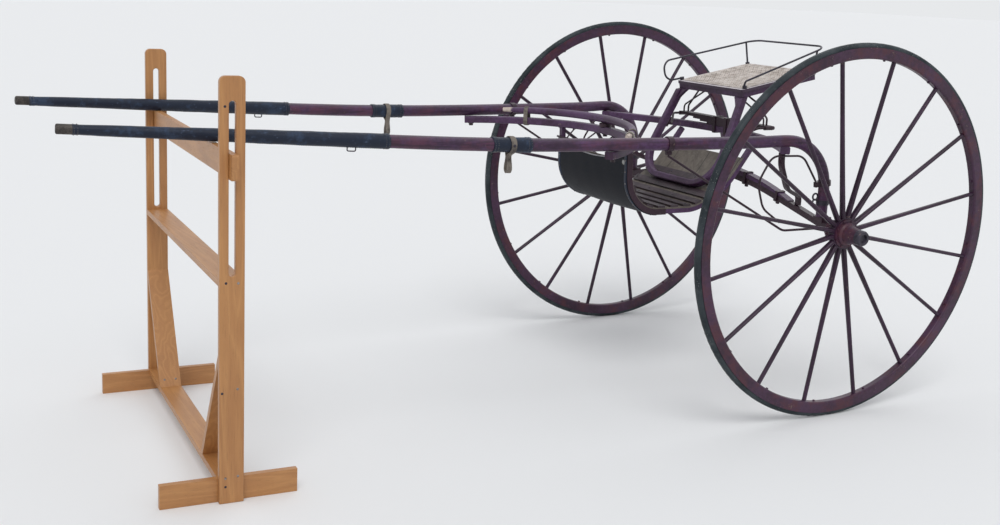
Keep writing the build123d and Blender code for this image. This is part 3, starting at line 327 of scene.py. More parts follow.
@dataclass(frozen=True)
class Paint:
    """Old carriage paint: deep colour with a worn, dusty and chipped coat."""

    name: str
    deep: Colour
    worn: Colour
    dust: float
    dents: float = 0.0004
    blush: Colour | None = None
    streak: Point | None = None
    bare: tuple[Point, ...] = ()
    bare_reach: float = 0.050
    chip: Colour = (0.16, 0.11, 0.10)
    dust_colour: Colour = (0.30, 0.26, 0.33)
    bare_dark: Colour = (0.42, 0.34, 0.29)
    bare_pale: Colour = (0.68, 0.60, 0.53)
    broad_scale: float = 5.0
    blush_scale: float = 11.0
    chip_group_scale: float = 23.0
    mottle_scale: float = 70.0
    streak_scale: float = 75.0
    chip_scale: float = 130.0
    grit_scale: float = 400.0
    gloss: float = 0.34
    coat: float = 0.14
    coat_gloss: float = 0.22
    shine: float = 0.3

    def build(self) -> bpy.types.Material:
        """Mixes the paint: broad fading, fine mottling, chips where two noises agree, dust on top faces.

        A blush tints patches, streaks follow a stretched noise, and round each bare spot the paint is rubbed
        through to pale wood.

        Returns:
            The material.
        """
        recipe = Recipe(self.name)
        mottle = recipe.noise(self.mottle_scale, 5.0)
        faded = recipe.agree(recipe.noise(self.broad_scale, 3.0), mottle, 0.5, 0.16)
        colour = recipe.blend(faded, self.deep, self.worn)
        if self.blush:
            patches = recipe.noise(self.blush_scale, 5.0, rough=0.7).above(0.54, 0.1)
            colour = recipe.blend(patches * 0.8, colour, self.blush)
        if self.streak:
            lines = recipe.noise(self.streak_scale, 4.0, self.streak, 0.6).below(0.47, 0.09)
            colour = recipe.blend(lines * 0.6, colour, scaled(self.deep, 0.45))
        groups = recipe.noise(self.chip_group_scale, 2.0)
        chips = recipe.agree(recipe.noise(self.chip_scale, 3.0), groups, 0.655, 0.02)
        colour = recipe.blend(chips * 0.8, colour, self.chip)
        dusty = recipe.facing_up().above(0.55, 0.4) * (mottle * 0.7 + 0.3) * self.dust
        colour = recipe.blend(dusty, colour, self.dust_colour)
        rough = self.gloss + mottle * 0.18 + chips * 0.3 + dusty * 0.4
        for spot in self.bare:
            away = recipe.distance(spot) / self.bare_reach
            rubbed = (away + (mottle - 0.5) * 0.5).below(0.85, 0.12)
            colour = recipe.blend(rubbed, colour, recipe.blend(mottle, self.bare_dark, self.bare_pale))
            rough = rough + rubbed * 0.25
        height = mottle * 0.5 + recipe.noise(self.grit_scale, 2.0) * 0.2 - chips * 0.6
        return recipe.finish(
            colour, rough, Normal=recipe.bump(height, self.dents), Coat_Weight=self.coat,
            Coat_Roughness=self.coat_gloss, Specular_IOR_Level=self.shine,
        )


@dataclass(frozen=True)
class Hide:
    """Leather with a pebbled grain, creases and paler worn places."""

    name: str
    deep: Colour
    worn: Colour
    grain: float = 900.0
    wear: float = 0.56
    gloss: float = 0.42
    relief: float = 0.0005
    shine: float = 0.3
    rubbed: Point | None = None
    rubbed_reach: float = 0.012
    rubbed_colour: Colour = (0.30, 0.30, 0.29)
    patch_scale: float = 14.0
    crease_scale: float = 60.0
    crease_stretch: Point = (1.0, 0.35, 1.0)
    scuff_scale: float = 180.0
    scuff_stretch: Point = (0.3, 1.0, 1.0)

    def build(self) -> bpy.types.Material:
        """Mixes the leather: cell-like grain from scattered points, creases from stretched noise.

        Round its rubbed spot, if it has one, the dye is worn to grey.

        Returns:
            The material.
        """
        recipe = Recipe(self.name)
        crease = recipe.noise(self.crease_scale, 5.0, self.crease_stretch, 0.7)
        worn = recipe.agree(recipe.noise(self.patch_scale, 4.0), crease, self.wear, 0.07)
        colour = recipe.blend(worn, self.deep, self.worn)
        scuffs = recipe.noise(self.scuff_scale, 3.0, self.scuff_stretch).above(0.69, 0.03)
        colour = recipe.blend(scuffs * 0.55, colour, scaled(self.worn, 2.4, 0.05))
        if self.rubbed:
            away = recipe.distance(self.rubbed) / self.rubbed_reach
            grey = (away + (crease - 0.5) * 0.9).below(0.8, 0.2)
            colour = recipe.blend(grey, colour, self.rubbed_colour)
        rough = self.gloss + worn * 0.2 + scuffs * 0.2
        height = recipe.specks(self.grain) * 0.35 + crease * 0.65
        normal = recipe.bump(height, self.relief)
        return recipe.finish(colour, rough, Normal=normal, Specular_IOR_Level=self.shine)


@dataclass(frozen=True)
class Rubber:
    """Solid rubber tyre, dusty, with pale scuffs and specks of grit."""

    name: str
    deep: Colour = (0.012, 0.019, 0.024)
    dull: Colour = (0.032, 0.042, 0.049)
    scuffed: Colour = (0.080, 0.088, 0.094)
    grit_colour: Colour = (0.42, 0.42, 0.40)
    patch_scale: float = 9.0
    grit_patch_scale: float = 12.0
    scuff_scale: float = 45.0
    grit_scale: float = 150.0
    pore_scale: float = 260.0
    gloss: float = 0.62
    relief: float = 0.0007
    shine: float = 0.3

    def build(self) -> bpy.types.Material:
        """Mixes the rubber: dull patches, streaky scuffs and scattered pale specks.

        Returns:
            The material.
        """
        recipe = Recipe(self.name)
        patch = recipe.noise(self.patch_scale, 5.0).above(0.5, 0.12)
        colour = recipe.blend(patch, self.deep, self.dull)
        scuffs = recipe.noise(self.scuff_scale, 5.0, rough=0.7).above(0.6, 0.06)
        colour = recipe.blend(scuffs * 0.4, colour, self.scuffed)
        gritty = recipe.noise(self.grit_patch_scale, 2.0).above(0.53, 0.05)
        grit = recipe.specks(self.grit_scale).below(0.13, 0.03) * gritty
        colour = recipe.blend(grit, colour, self.grit_colour)
        rough = self.gloss + scuffs * 0.2 - patch * 0.08
        height = recipe.noise(self.pore_scale, 4.0) * 0.5 + scuffs * 0.3 + grit * 0.4
        normal = recipe.bump(height, self.relief)
        return recipe.finish(colour, rough, Normal=normal, Specular_IOR_Level=self.shine)


@dataclass(frozen=True)
class Timber:
    """Bare or varnished timber with its grain along one axis."""

    name: str
    grain: Grain
    pale: Colour
    dark: Colour
    gloss: float = 0.38
    dirt: float = 0.0
    joints: tuple[float, ...] = ()
    joint_width: float = 0.0022
    # Colour of the faces that don't look up; where it is given, the timber's colours on the faces that look
    # up are a painted highlight of sky glare.
    sides: Colour | None = None
    tone_scale: float = 4.0
    ring_scale: float = 16.0
    ring_stretch: float = 0.06
    rings: float = 9.0
    dirt_scale: float = 30.0
    fibre_scale: float = 420.0
    fibre_stretch: float = 0.02
    pore_scale: float = 800.0
    relief: float = 0.0003
    coat: float = 0.25
    coat_gloss: float = 0.3

    def _drawn_out(self, share: float) -> Point:
        """Factors that stretch a noise along the grain."""
        return tuple(share if axis == self.grain.value else 1.0 for axis in range(3))

    def build(self) -> bpy.types.Material:
        """Mixes the timber: wandering growth rings, long fibres and short dark pores along the grain.

        Joints between boards are dark lines at given distances to the left of the middle. Where a side colour
        is given, the faces that don't look up take it, and the faces that look up keep the timber's colours
        as a painted highlight of sky glare.

        Returns:
            The material.
        """
        recipe = Recipe(self.name)
        wander = recipe.noise(self.ring_scale, 2.0, self._drawn_out(self.ring_stretch), 0.4)
        ring = (wander * self.rings).maths("FRACT")
        ring = (ring - 0.5) * (ring - 0.5) * 4.0
        fibre = recipe.noise(self.fibre_scale, 4.0, self._drawn_out(self.fibre_stretch), 0.6)
        pores = recipe.noise(self.pore_scale, 2.0, self._drawn_out(self.fibre_stretch), 0.5).above(0.64, 0.03)
        colour = recipe.blend(ring * 0.45 + fibre * 0.55, self.dark, self.pale)
        colour = recipe.blend(pores * 0.35, colour, scaled(self.dark, 0.45))
        tone = recipe.noise(self.tone_scale, 2.0).above(0.5, 0.2)
        colour = recipe.blend(tone * 0.22, colour, scaled(self.pale, 1.12))
        if self.dirt:
            stain = recipe.noise(self.dirt_scale, 5.0).above(0.54, 0.1) * self.dirt
            colour = recipe.blend(stain, colour, scaled(self.dark, 0.3))
        rough = self.gloss + fibre * 0.15 + pores * 0.15
        height = fibre * 0.6 - pores * 0.5
        for joint in self.joints:
            away = (recipe.part(1, recipe.place) - joint).maths("ABSOLUTE")
            gap = (away / self.joint_width).below(1.0, 0.5)
            colour = recipe.blend(gap * 0.85, colour, scaled(self.dark, 0.2))
            height = height - gap * 3.0
        # Painted highlight: faces that look up keep the pale timber colours as sky glare, and the other faces
        # take the side colour.
        if self.sides:
            colour = recipe.blend(recipe.facing_up().above(0.7, 0.1), self.sides, colour)
        return recipe.finish(
            colour, rough, Normal=recipe.bump(height, self.relief), Coat_Weight=self.coat,
            Coat_Roughness=self.coat_gloss,
        )


@dataclass(frozen=True)
class Metal:
    """Bare or browned metal with tarnish."""

    name: str
    bright: Colour
    tarnish: Colour
    metallic: float
    gloss: float = 0.35
    patch_scale: float = 40.0
    speck_scale: float = 300.0
    scratch_scale: float = 500.0
    relief: float = 0.0002

    def build(self) -> bpy.types.Material:
        """Mixes the metal: rougher tarnish in patches, and a finely pitted face.

        Returns:
            The material.
        """
        recipe = Recipe(self.name)
        specks = recipe.noise(self.speck_scale, 3.0)
        patch = recipe.agree(recipe.noise(self.patch_scale, 4.0), specks, 0.5, 0.12)
        colour = recipe.blend(patch, self.bright, self.tarnish)
        normal = recipe.bump(recipe.noise(self.scratch_scale, 3.0), self.relief)
        return recipe.finish(colour, self.gloss + patch * 0.25, Metallic=self.metallic, Normal=normal)


@dataclass(frozen=True)
class Fibre:
    """Cane, cord or thread: pale strands with slight stain."""

    name: str
    pale: Colour
    stained: Colour
    gloss: float = 0.5
    stain_scale: float = 30.0
    fine_scale: float = 900.0
    relief: float = 0.0002

    def build(self) -> bpy.types.Material:
        """Mixes the fibre: broad staining and fine dark mottling.

        Returns:
            The material.
        """
        recipe = Recipe(self.name)
        stain = recipe.noise(self.stain_scale, 4.0).above(0.52, 0.14)
        colour = recipe.blend(stain, self.pale, self.stained)
        fine = recipe.noise(self.fine_scale, 3.0)
        colour = recipe.blend(fine * 0.4, colour, scaled(self.stained, 0.55))
        return recipe.finish(colour, self.gloss + fine * 0.2, Normal=recipe.bump(fine, self.relief))


class Palette:
    """Every finish of the cart, built once."""

    def __init__(self) -> None:
        """Builds the materials."""
        maroon, plum = (0.038, 0.014, 0.038), (0.088, 0.040, 0.108)
        self.wood_paint = Paint("maroon_wood_paint", maroon, plum, 0.14).build()
        self.shaft_paint = Paint(
            "maroon_shaft_paint", maroon, plum, 0.14, streak=(0.035, 1.0, 1.0), blush=(0.090, 0.026, 0.052)
        ).build()
        self.wheel_paint = Paint(
            "maroon_wheel_paint", (0.027, 0.009, 0.022), (0.060, 0.023, 0.058), 0.0,
            blush=(0.078, 0.020, 0.030),
        ).build()
        self.spoke_paint = Paint(
            "plum_spoke_paint", (0.019, 0.007, 0.018), (0.040, 0.016, 0.041), 0.0
        ).build()
        self.iron_paint = Paint(
            "maroon_iron_paint", (0.018, 0.006, 0.012), (0.040, 0.017, 0.030), 0.06, dents=0.0006
        ).build()
        self.black_iron = Paint("black_iron_paint", (0.013, 0.011, 0.018), (0.040, 0.034, 0.052), 0.1).build()
        self.rubber = Rubber("grey_tyre_rubber").build()
        self.shaft_hide = Hide("navy_shaft_leather", (0.008, 0.014, 0.031), (0.025, 0.043, 0.082)).build()
        self.dash_hide = Hide(
            "navy_dash_leather", (0.003, 0.004, 0.008), (0.008, 0.010, 0.018), grain=500.0, wear=0.62,
            gloss=0.5, shine=0.14, rubbed=(-0.363, 0.226, 0.921),
        ).build()
        self.piping = Hide("grey_piping_leather", (0.10, 0.10, 0.11), (0.27, 0.265, 0.28), wear=0.42).build()
        self.strap_hide = Hide(
            "tan_strap_leather", (0.065, 0.055, 0.050), (0.19, 0.165, 0.142), grain=1300.0, wear=0.47,
            gloss=0.6, relief=0.0006,
        ).build()
        self.brass = Metal("brown_brass", (0.085, 0.072, 0.064), (0.040, 0.035, 0.033), 0.5, 0.45).build()
        self.steel = Metal("worn_steel", (0.34, 0.32, 0.31), (0.10, 0.075, 0.065), 0.7).build()
        self.cane = Fibre("pale_cane", (0.78, 0.71, 0.66), (0.50, 0.43, 0.38)).build()
        self.cord = Fibre("grey_cord", (0.46, 0.43, 0.39), (0.24, 0.21, 0.19)).build()
        self.thread = Fibre("pale_thread", (0.30, 0.28, 0.25), (0.16, 0.14, 0.12)).build()
        oak = (0.51, 0.250, 0.086), (0.34, 0.142, 0.044)
        self.oak = {grain: Timber(f"honey_oak_{grain.name.lower()}", grain, *oak).build() for grain in Grain}
        self.tree_paint = Paint(
            "worn_singletree_paint", maroon, plum, 0.22,
            bare=((-0.208, 0.462, 1.050), (-0.208, -0.462, 1.050)),
        ).build()
        # Seat frame: dark plum paint on its sides, and pale lilac timber colours on the faces that look up as
        # a painted highlight of sky glare, with dirt stains.
        self.seat_wood = Timber(
            "seat_paint_with_painted_top_glare", Grain.ACROSS, (0.70, 0.66, 0.70), (0.42, 0.37, 0.39), gloss=0.5, dirt=0.3,
            sides=(0.040, 0.017, 0.042),
        ).build()
        self.slat_wood = Timber(
            "dark_slat_wood", Grain.ACROSS, (0.058, 0.035, 0.046), (0.020, 0.010, 0.015), gloss=0.5, dirt=0.6
        ).build()
        self.board = Timber(
            "olive_board", Grain.ALONG, (0.190, 0.162, 0.135), (0.090, 0.074, 0.060), gloss=0.6, dirt=0.4,
            joints=(-0.147, 0.046, 0.239),
        ).build()


# Surfaces worked out on grids


def grid_faces(points: np.ndarray, skin: Skin) -> np.ndarray:
    """The corner numbers of a grid's faces, which go along the columns first and then the rows.

    A closed grid whose volume, summed face by face from its middle, comes out negative has its faces turned.

    Args:
        points: The grid, shaped rows by columns by 3.
        skin: How its edges are joined.

    Returns:
        The faces, count by 4.
    """
    rows, columns = points.shape[:2]
    row = np.arange(rows if skin is Skin.RING else rows - 1)[:, None]
    column = np.arange(columns - 1 if skin is Skin.OPEN else columns)[None, :]
    next_row, next_column = (row + 1) % rows, (column + 1) % columns
    corners = (
        row * columns + column,
        row * columns + next_column,
        next_row * columns + next_column,
        next_row * columns + column,
    )
    faces = np.stack(corners, axis=-1).reshape(-1, 4)
    flat = points.reshape(-1, 3) - points.reshape(-1, 3).mean(axis=0)
    a, b, c, d = (flat[faces[:, corner]] for corner in range(4))
    volume = np.sum(np.cross(b - a, d - a) * a) + np.sum(np.cross(d - c, b - c) * c)
    return faces[:, ::-1] if skin is not Skin.OPEN and volume < 0 else faces


def grids_mesh(
    name: str,
    grids: list[np.ndarray],
    material: bpy.types.Material,
    skin: Skin = Skin.ROD,
    smooth: bool = True,
) -> bpy.types.Object:
    """Makes one mesh from several grids. A rod's first and last row are closed by one face each.

    Args:
        name: The object's name.
        grids: The grids, each shaped rows by columns by 3.
        material: The finish.
        skin: How each grid's edges are joined.
        smooth: Whether the faces are shaded smooth.

    Returns:
        The object.
    """
    faces, start = [], 0
    for points in grids:
        rows, columns = points.shape[:2]
        sides = grid_faces(points, skin)
        faces.extend((sides + start).tolist())
        if skin is Skin.ROD:
            step = 1 if sides[0, 0] == 0 else -1
            ring = np.arange(columns)
            faces.append((ring[::-step] + start).tolist())
            faces.append((ring[::step] + (rows - 1) * columns + start).tolist())
        start += rows * columns
    mesh = bpy.data.meshes.new(name)
    mesh.from_pydata(np.concatenate([points.reshape(-1, 3) for points in grids]).tolist(), [], faces)
    mesh.polygons.foreach_set("use_smooth", np.full(len(mesh.polygons), smooth))
    mesh.materials.append(material)
    mesh.update()
    piece = bpy.data.objects.new(name, mesh)
    bpy.context.collection.objects.link(piece)
    return piece


def unit(vectors: np.ndarray) -> np.ndarray:
    """Vectors at length 1, along the last axis."""
    return vectors / np.linalg.norm(vectors, axis=-1, keepdims=True)


def loop_tangent(path: np.ndarray) -> np.ndarray:
    """Directions along a closed path: from the point before to the point after."""
    return unit(np.roll(path, -1, axis=0) - np.roll(path, 1, axis=0))


def round_angles(count: int) -> np.ndarray:
    """Angles in even steps round a full turn."""
    return np.linspace(0, 2 * math.pi, count, endpoint=False)


def squared_round(count: int, power: float) -> tuple[np.ndarray, np.ndarray]:
    """A round of half-width 1 drawn towards a square: sign(c) |c|^p across and sign(s) |s|^p up.

    Args:
        count: Points round it.
        power: The power p, where 1 gives a circle and 0 a square.

    Returns:
        Its places across and up.
    """
    cosine, sine = np.cos(round_angles(count)), np.sin(round_angles(count))
    return np.sign(cosine) * np.abs(cosine) ** power, np.sign(sine) * np.abs(sine) ** power


def tube_grid(path: np.ndarray, radius: float, sides: int) -> np.ndarray:
    """A ring of points round each point of a level path: centre + radius (cos a side + sin a over).

    Args:
        path: The points that it follows, count by 3, which never go straight up.
        radius: The tube's radius.
        sides: Points round the tube.

    Returns:
        The grid, path points by sides by 3.
    """
    tangent = unit(np.gradient(path, axis=0))
    side = unit(np.cross(tangent, UPWARD))
    over = np.cross(tangent, side)
    angle = round_angles(sides)[None, :, None]
    return path[:, None] + radius * (np.cos(angle) * side[:, None] + np.sin(angle) * over[:, None])


def dome_grid(centre: np.ndarray, axis: np.ndarray, radius: float, height: float, sides: int) -> np.ndarray:
    """A rivet's head: rings of radius r cos t at a height h sin t along the axis, as t goes to a right angle.

    One more ring, a quarter of the height below the seat, sinks the head, and the last is all but a point.

    Args:
        centre: The middle of its seat.
        axis: The way that it stands out.
        radius: Its radius.
        height: Its height.
        sides: Points round each ring.

    Returns:
        The grid, 6 by sides by 3.
    """
    axis = unit(axis)
    side = unit(np.cross(UPWARD if abs(axis[2]) < 0.9 else AHEAD, axis))
    over = np.cross(axis, side)
    rise = np.linspace(0, math.pi / 2, 5)
    lift = np.concatenate(([-0.25], np.sin(rise)))[:, None, None]
    reach = np.concatenate(([1.0], np.cos(rise[:-1]), [0.02]))[:, None, None]
    angle = round_angles(sides)[:, None]
    ring = np.cos(angle) * side + np.sin(angle) * over
    return centre + radius * reach * ring + height * lift * axis


def smooth_between(wanted: np.ndarray, places: np.ndarray, values: np.ndarray) -> np.ndarray:
    """Values of the natural cubic spline through given points.

    The second derivatives m solve the usual three-term rows with none at the ends, and a span of width h has
    the value (m0 (b - x)^3 + m1 (x - a)^3) / 6h plus the line that makes up its ends.

    Args:
        wanted: Places to read.
        places: Places of the points, rising.
        values: Values there.

    Returns:
        The values at the wanted places.
    """
    count, gap = len(places), np.diff(places)
    rows, right = np.eye(count), np.zeros(count)
    inner = np.arange(1, count - 1)
    rows[inner, inner - 1], rows[inner, inner + 1] = gap[:-1], gap[1:]
    rows[inner, inner] = 2 * (gap[:-1] + gap[1:])
    right[inner] = 6 * np.diff(np.diff(values) / gap)
    bend = np.linalg.solve(rows, right)
    span = np.clip(np.searchsorted(places, wanted) - 1, 0, count - 2)
    width, before, after = gap[span], wanted - places[span], places[span + 1] - wanted
    low, high = bend[span], bend[span + 1]
    curve = (low * after**3 + high * before**3) / (6 * width)
    start = (values[span] / width - low * width / 6) * after
    return curve + start + (values[span + 1] / width - high * width / 6) * before


def smooth_loop(corners: np.ndarray, count: int) -> np.ndarray:
    """Evenly spaced points on a closed line that passes smoothly through given ones.

    Each span is the cubic through its two ends whose slopes come from their neighbours, drawn in 24 steps,
    and the whole is read by length.

    Args:
        corners: The given points.
        count: Points wanted.

    Returns:
        The points, which don't repeat the first.
    """
    b, c, a, d = (np.roll(corners, shift, axis=0)[:, None] for shift in (1, 0, -1, -2))
    t = np.linspace(0, 1, 24, endpoint=False)[None, :, None]
    fine = 0.5 * (2 * c + (a - b) * t + (2 * b - 5 * c + 4 * a - d) * t**2 + (3 * c - b - 3 * a + d) * t**3)
    fine = fine.reshape(-1, corners.shape[1])
    fine = np.concatenate((fine, fine[:1]))
    length = run_length(fine)
    wanted = np.linspace(0, length[-1], count, endpoint=False)
    return read_line(wanted, length, fine)


def run_length(path: np.ndarray) -> np.ndarray:
    """The length of a path from its start to each of its points."""
    return np.concatenate(([0.0], np.cumsum(np.linalg.norm(np.diff(path, axis=0), axis=1))))


def read_line(wanted: np.ndarray, length: np.ndarray, values: np.ndarray) -> np.ndarray:
    """Rows of values read at wanted lengths, in straight lines between the given ones."""
    return np.stack([np.interp(wanted, length, column) for column in values.T], axis=-1)


def band_grid(path: np.ndarray, across: np.ndarray, width: float, thickness: float) -> np.ndarray:
    """A strap round a closed path. Its section is a flat squared round of power 0.4.

    Args:
        path: The strap's middle line.
        across: The direction of its width.
        width: Its width.
        thickness: Its thickness.

    Returns:
        The grid, path points by 16 by 3.
    """
    across = unit(np.broadcast_to(across, path.shape))
    through = unit(np.cross(loop_tangent(path), across))
    flat, deep = squared_round(16, 0.4)
    flat, deep = (flat * width / 2)[None, :, None], (deep * thickness / 2)[None, :, None]
    return path[:, None] + flat * across[:, None] + deep * through[:, None]


def stitch_grids(places: np.ndarray, along: np.ndarray, length: float) -> list[np.ndarray]:
    """Stitches: short beads of five rings whose radius swells from an end to the thread's and falls again.

    Args:
        places: The middle of each.
        along: The direction of each.
        length: Their length.

    Returns:
        One small grid for each stitch.
    """
    along = unit(along)
    side = unit(np.cross(along, np.where(np.abs(along[:, 2:]) < 0.9, UPWARD, AHEAD)))
    over = np.cross(along, side)
    step = np.array((-0.5, -0.4, 0.0, 0.4, 0.5)) * length
    swell = np.array((0.3, 0.85, 1.0, 0.85, 0.3)) * THREAD_RADIUS
    angle = round_angles(6)[:, None]
    ring = np.cos(angle) * side[:, None] + np.sin(angle) * over[:, None]
    middles = places[:, None] + step[:, None] * along[:, None]
    return list(middles[:, :, None] + swell[:, None, None] * ring[:, None])


def fit(piece: bpy.types.Object, slot: str, *nodes: str) -> None:
    """Lets a finished piece ride on the cart, in the place of CAD nodes where some are named.

    Args:
        piece: The piece.
        slot: The record's material slot.
        *nodes: CAD nodes that it stands for.
    """
    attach(piece, "cart")
    if nodes:
        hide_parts(*nodes)
    LOG.info("made %s: %d faces, slot %s", piece.name, len(piece.data.polygons), slot)


# The cart's leather, seat and rack


@dataclass(frozen=True)
class ShaftLine:
    """The long run of a shaft, smooth through the stations of the CAD.

    A station gives the place forward of the axle, the height of the centre line, the width and the depth.
    """

    stations: tuple[tuple[float, float, float, float], ...] = (
        (2.705, 1.102, 0.025, 0.025),
        (2.250, 1.081, 0.035, 0.036),
        (1.750, 1.058, 0.042, 0.044),
        (1.320, 1.042, 0.044, 0.046),
        (0.930, 1.038, 0.043, 0.046),
        (0.705, 1.038, 0.042, 0.046),
        (0.220, 1.044, 0.038, 0.044),
    )
    reach: float = 2.750
    spacing: float = 0.396
    splay: float = 0.0847
    climb: float = 0.03

    def _read(self, forward: Numbers, column: int) -> np.ndarray:
        """One column of the stations at given places."""
        table = np.array(self.stations)[::-1]
        return smooth_between(np.asarray(forward, float), table[:, 0], table[:, column])

    def run(self, side: Side) -> np.ndarray:
        """The direction in which a shaft runs forward, near its middle."""
        return unit(np.array((1.0, -side.value * self.splay, self.climb)))

    def centre(self, side: Side, forward: Numbers) -> np.ndarray:
        """Points of the centre line."""
        left = side.value * (self.spacing + (self.reach - forward) * self.splay)
        return at(forward, left, self._read(forward, 1))

    def skin(self, side: Side, forward: Numbers, angle: np.ndarray, grow: Numbers) -> np.ndarray:
        """Points round the shaft: centre + (width/2 + g) cos a outward + (depth/2 + g) sin a up.

        Args:
            side: Which shaft.
            forward: Places along it, of any shape.
            angle: The angle of each, 0 at the outer face and a quarter turn at the top.
            grow: How far each stands off the wood.

        Returns:
            The points.
        """
        forward, angle, grow = np.broadcast_arrays(forward, angle, grow)
        out = np.cos(angle) * (self._read(forward, 2) / 2 + grow) * side.value
        up = np.sin(angle) * (self._read(forward, 3) / 2 + grow)
        return self.centre(side, forward) + np.stack([np.zeros_like(out), out, up], axis=-1)


@dataclass(frozen=True)
class ShaftSleeve:
    """Leather sewn round a shaft, with a hem at each end, a seam underneath and soft wrinkles.

    Sizes round the shaft, which end in turn, are angles in radians.
    """

    name: str
    behind: float
    ahead: float
    shaft: ShaftLine = ShaftLine()
    stand_off: float = 0.0023
    hem_width: float = 0.017
    hem_lift: float = 0.0008
    hem_ease: float = 0.0008
    seam_turn: float = math.radians(-104.0)
    ridge: float = 0.0013
    ridge_half_turn: float = 0.10
    ridge_foot_turn: float = 0.32
    crease: float = 0.0005
    crease_from_seam_turn: float = 1.25
    crease_half_turn: float = 0.12
    slow_wave: float = 0.00035
    fine_wave: float = 0.00016
    sides: int = 48
    step: float = 0.004
    inner_rings: int = 20
    inner_inset: float = 0.001
    end_bulge: float = 0.0008
    end_lips: tuple[float, float] = (0.0006, 0.0014)
    pitch: float = 0.0072
    row_start: float = 0.022
    row_end: float = 0.020
    row_turn: float = 0.17
    row_stitch: float = 0.0048
    hem_stitches: int = 22
    hem_stitch: float = 0.0044
    hem_rows: tuple[float, float] = (0.004, 0.014)

    def _grow(self, forward: np.ndarray, angle: np.ndarray) -> np.ndarray:
        """How far the leather stands off the wood: wall + hems + seam ridge + waves - a crease by the seam.

        One wave is slow, and the other is fine and comes and goes.

        Args:
            forward: Places along the shaft.
            angle: Angles round it.

        Returns:
            The distances.
        """
        edge = np.minimum(forward - self.behind, self.ahead - forward)
        hem = self.hem_lift / (1 + np.exp((edge - self.hem_width) / self.hem_ease))
        turn = np.angle(np.exp(1j * (angle - self.seam_turn)))
        ridge = self.ridge * np.exp(-((turn / self.ridge_half_turn) ** 2))
        foot = 0.5 * self.ridge * np.exp(-((turn / self.ridge_foot_turn) ** 2))
        slow = np.sin(34.0 * forward + 1.7 * np.sin(9.0 * forward) + 2.0 * angle)
        fine = np.sin(150.0 * forward - 3.0 * angle + 2.2 * np.sin(23.0 * forward))
        patch = 0.5 + 0.5 * np.sin(13.0 * forward + angle)
        crease = self.crease * np.exp(-(((turn - self.crease_from_seam_turn) / self.crease_half_turn) ** 2))
        sewn = self.stand_off + hem + ridge + foot
        return sewn + self.slow_wave * slow + self.fine_wave * fine * patch - crease

    def _shell(self, side: Side) -> np.ndarray:
        """The closed skin: along the outside, round each end and back along the wood.

        Args:
            side: Which shaft.

        Returns:
            The grid, rings by points round.
        """
        angle = round_angles(self.sides)[None, :]
        outer = np.linspace(self.behind, self.ahead, round((self.ahead - self.behind) / self.step))[:, None]
        inner = np.linspace(self.ahead - self.inner_inset, self.behind + self.inner_inset, self.inner_rings)
        lips = np.array(self.end_lips)[:, None]
        return np.concatenate((
            self.shaft.skin(side, outer, angle, self._grow(outer, angle)),
            self.shaft.skin(side, self.ahead + self.end_bulge, angle, lips[::-1]),
            self.shaft.skin(side, inner[:, None], angle, 0.0),
            self.shaft.skin(side, self.behind - self.end_bulge, angle, lips),
        ))

    def _stitches(self, side: Side) -> list[np.ndarray]:
        """Two rows beside the seam and two rings in each hem.

        Args:
            side: Which shaft.

        Returns:
            One small grid for each stitch.
        """
        grids = []
        run = np.arange(self.behind + self.row_start, self.ahead - self.row_end, self.pitch)
        for turn in (-self.row_turn, self.row_turn):
            angle = np.full_like(run, self.seam_turn + turn)
            places = self.shaft.skin(side, run, angle, self._grow(run, angle) + THREAD_LIFT)
            grids += stitch_grids(places, np.gradient(places, axis=0), self.row_stitch)
        angle = round_angles(self.hem_stitches)
        for edge in self.hem_rows:
            for forward in (self.behind + edge, self.ahead - edge):
                lift = self._grow(forward, angle)
                places = self.shaft.skin(side, forward, angle, lift + THREAD_LIFT)
                ahead = self.shaft.skin(side, forward, angle + 0.01, lift)
                grids += stitch_grids(places, ahead - places, self.hem_stitch)
        return grids

    def build(self, palette: Palette) -> None:
        """Makes the leather and its stitches on both shafts.

        Args:
            palette: The finishes.
        """
        for side in Side:
            name = f"{self.name}_{side.word}"
            fit(
                grids_mesh(f"{name}_leather", [self._shell(side)], palette.shaft_hide, Skin.RING),
                "navy_leather", name,
            )
            fit(grids_mesh(f"{name}_stitches", self._stitches(side), palette.thread), "navy_leather")


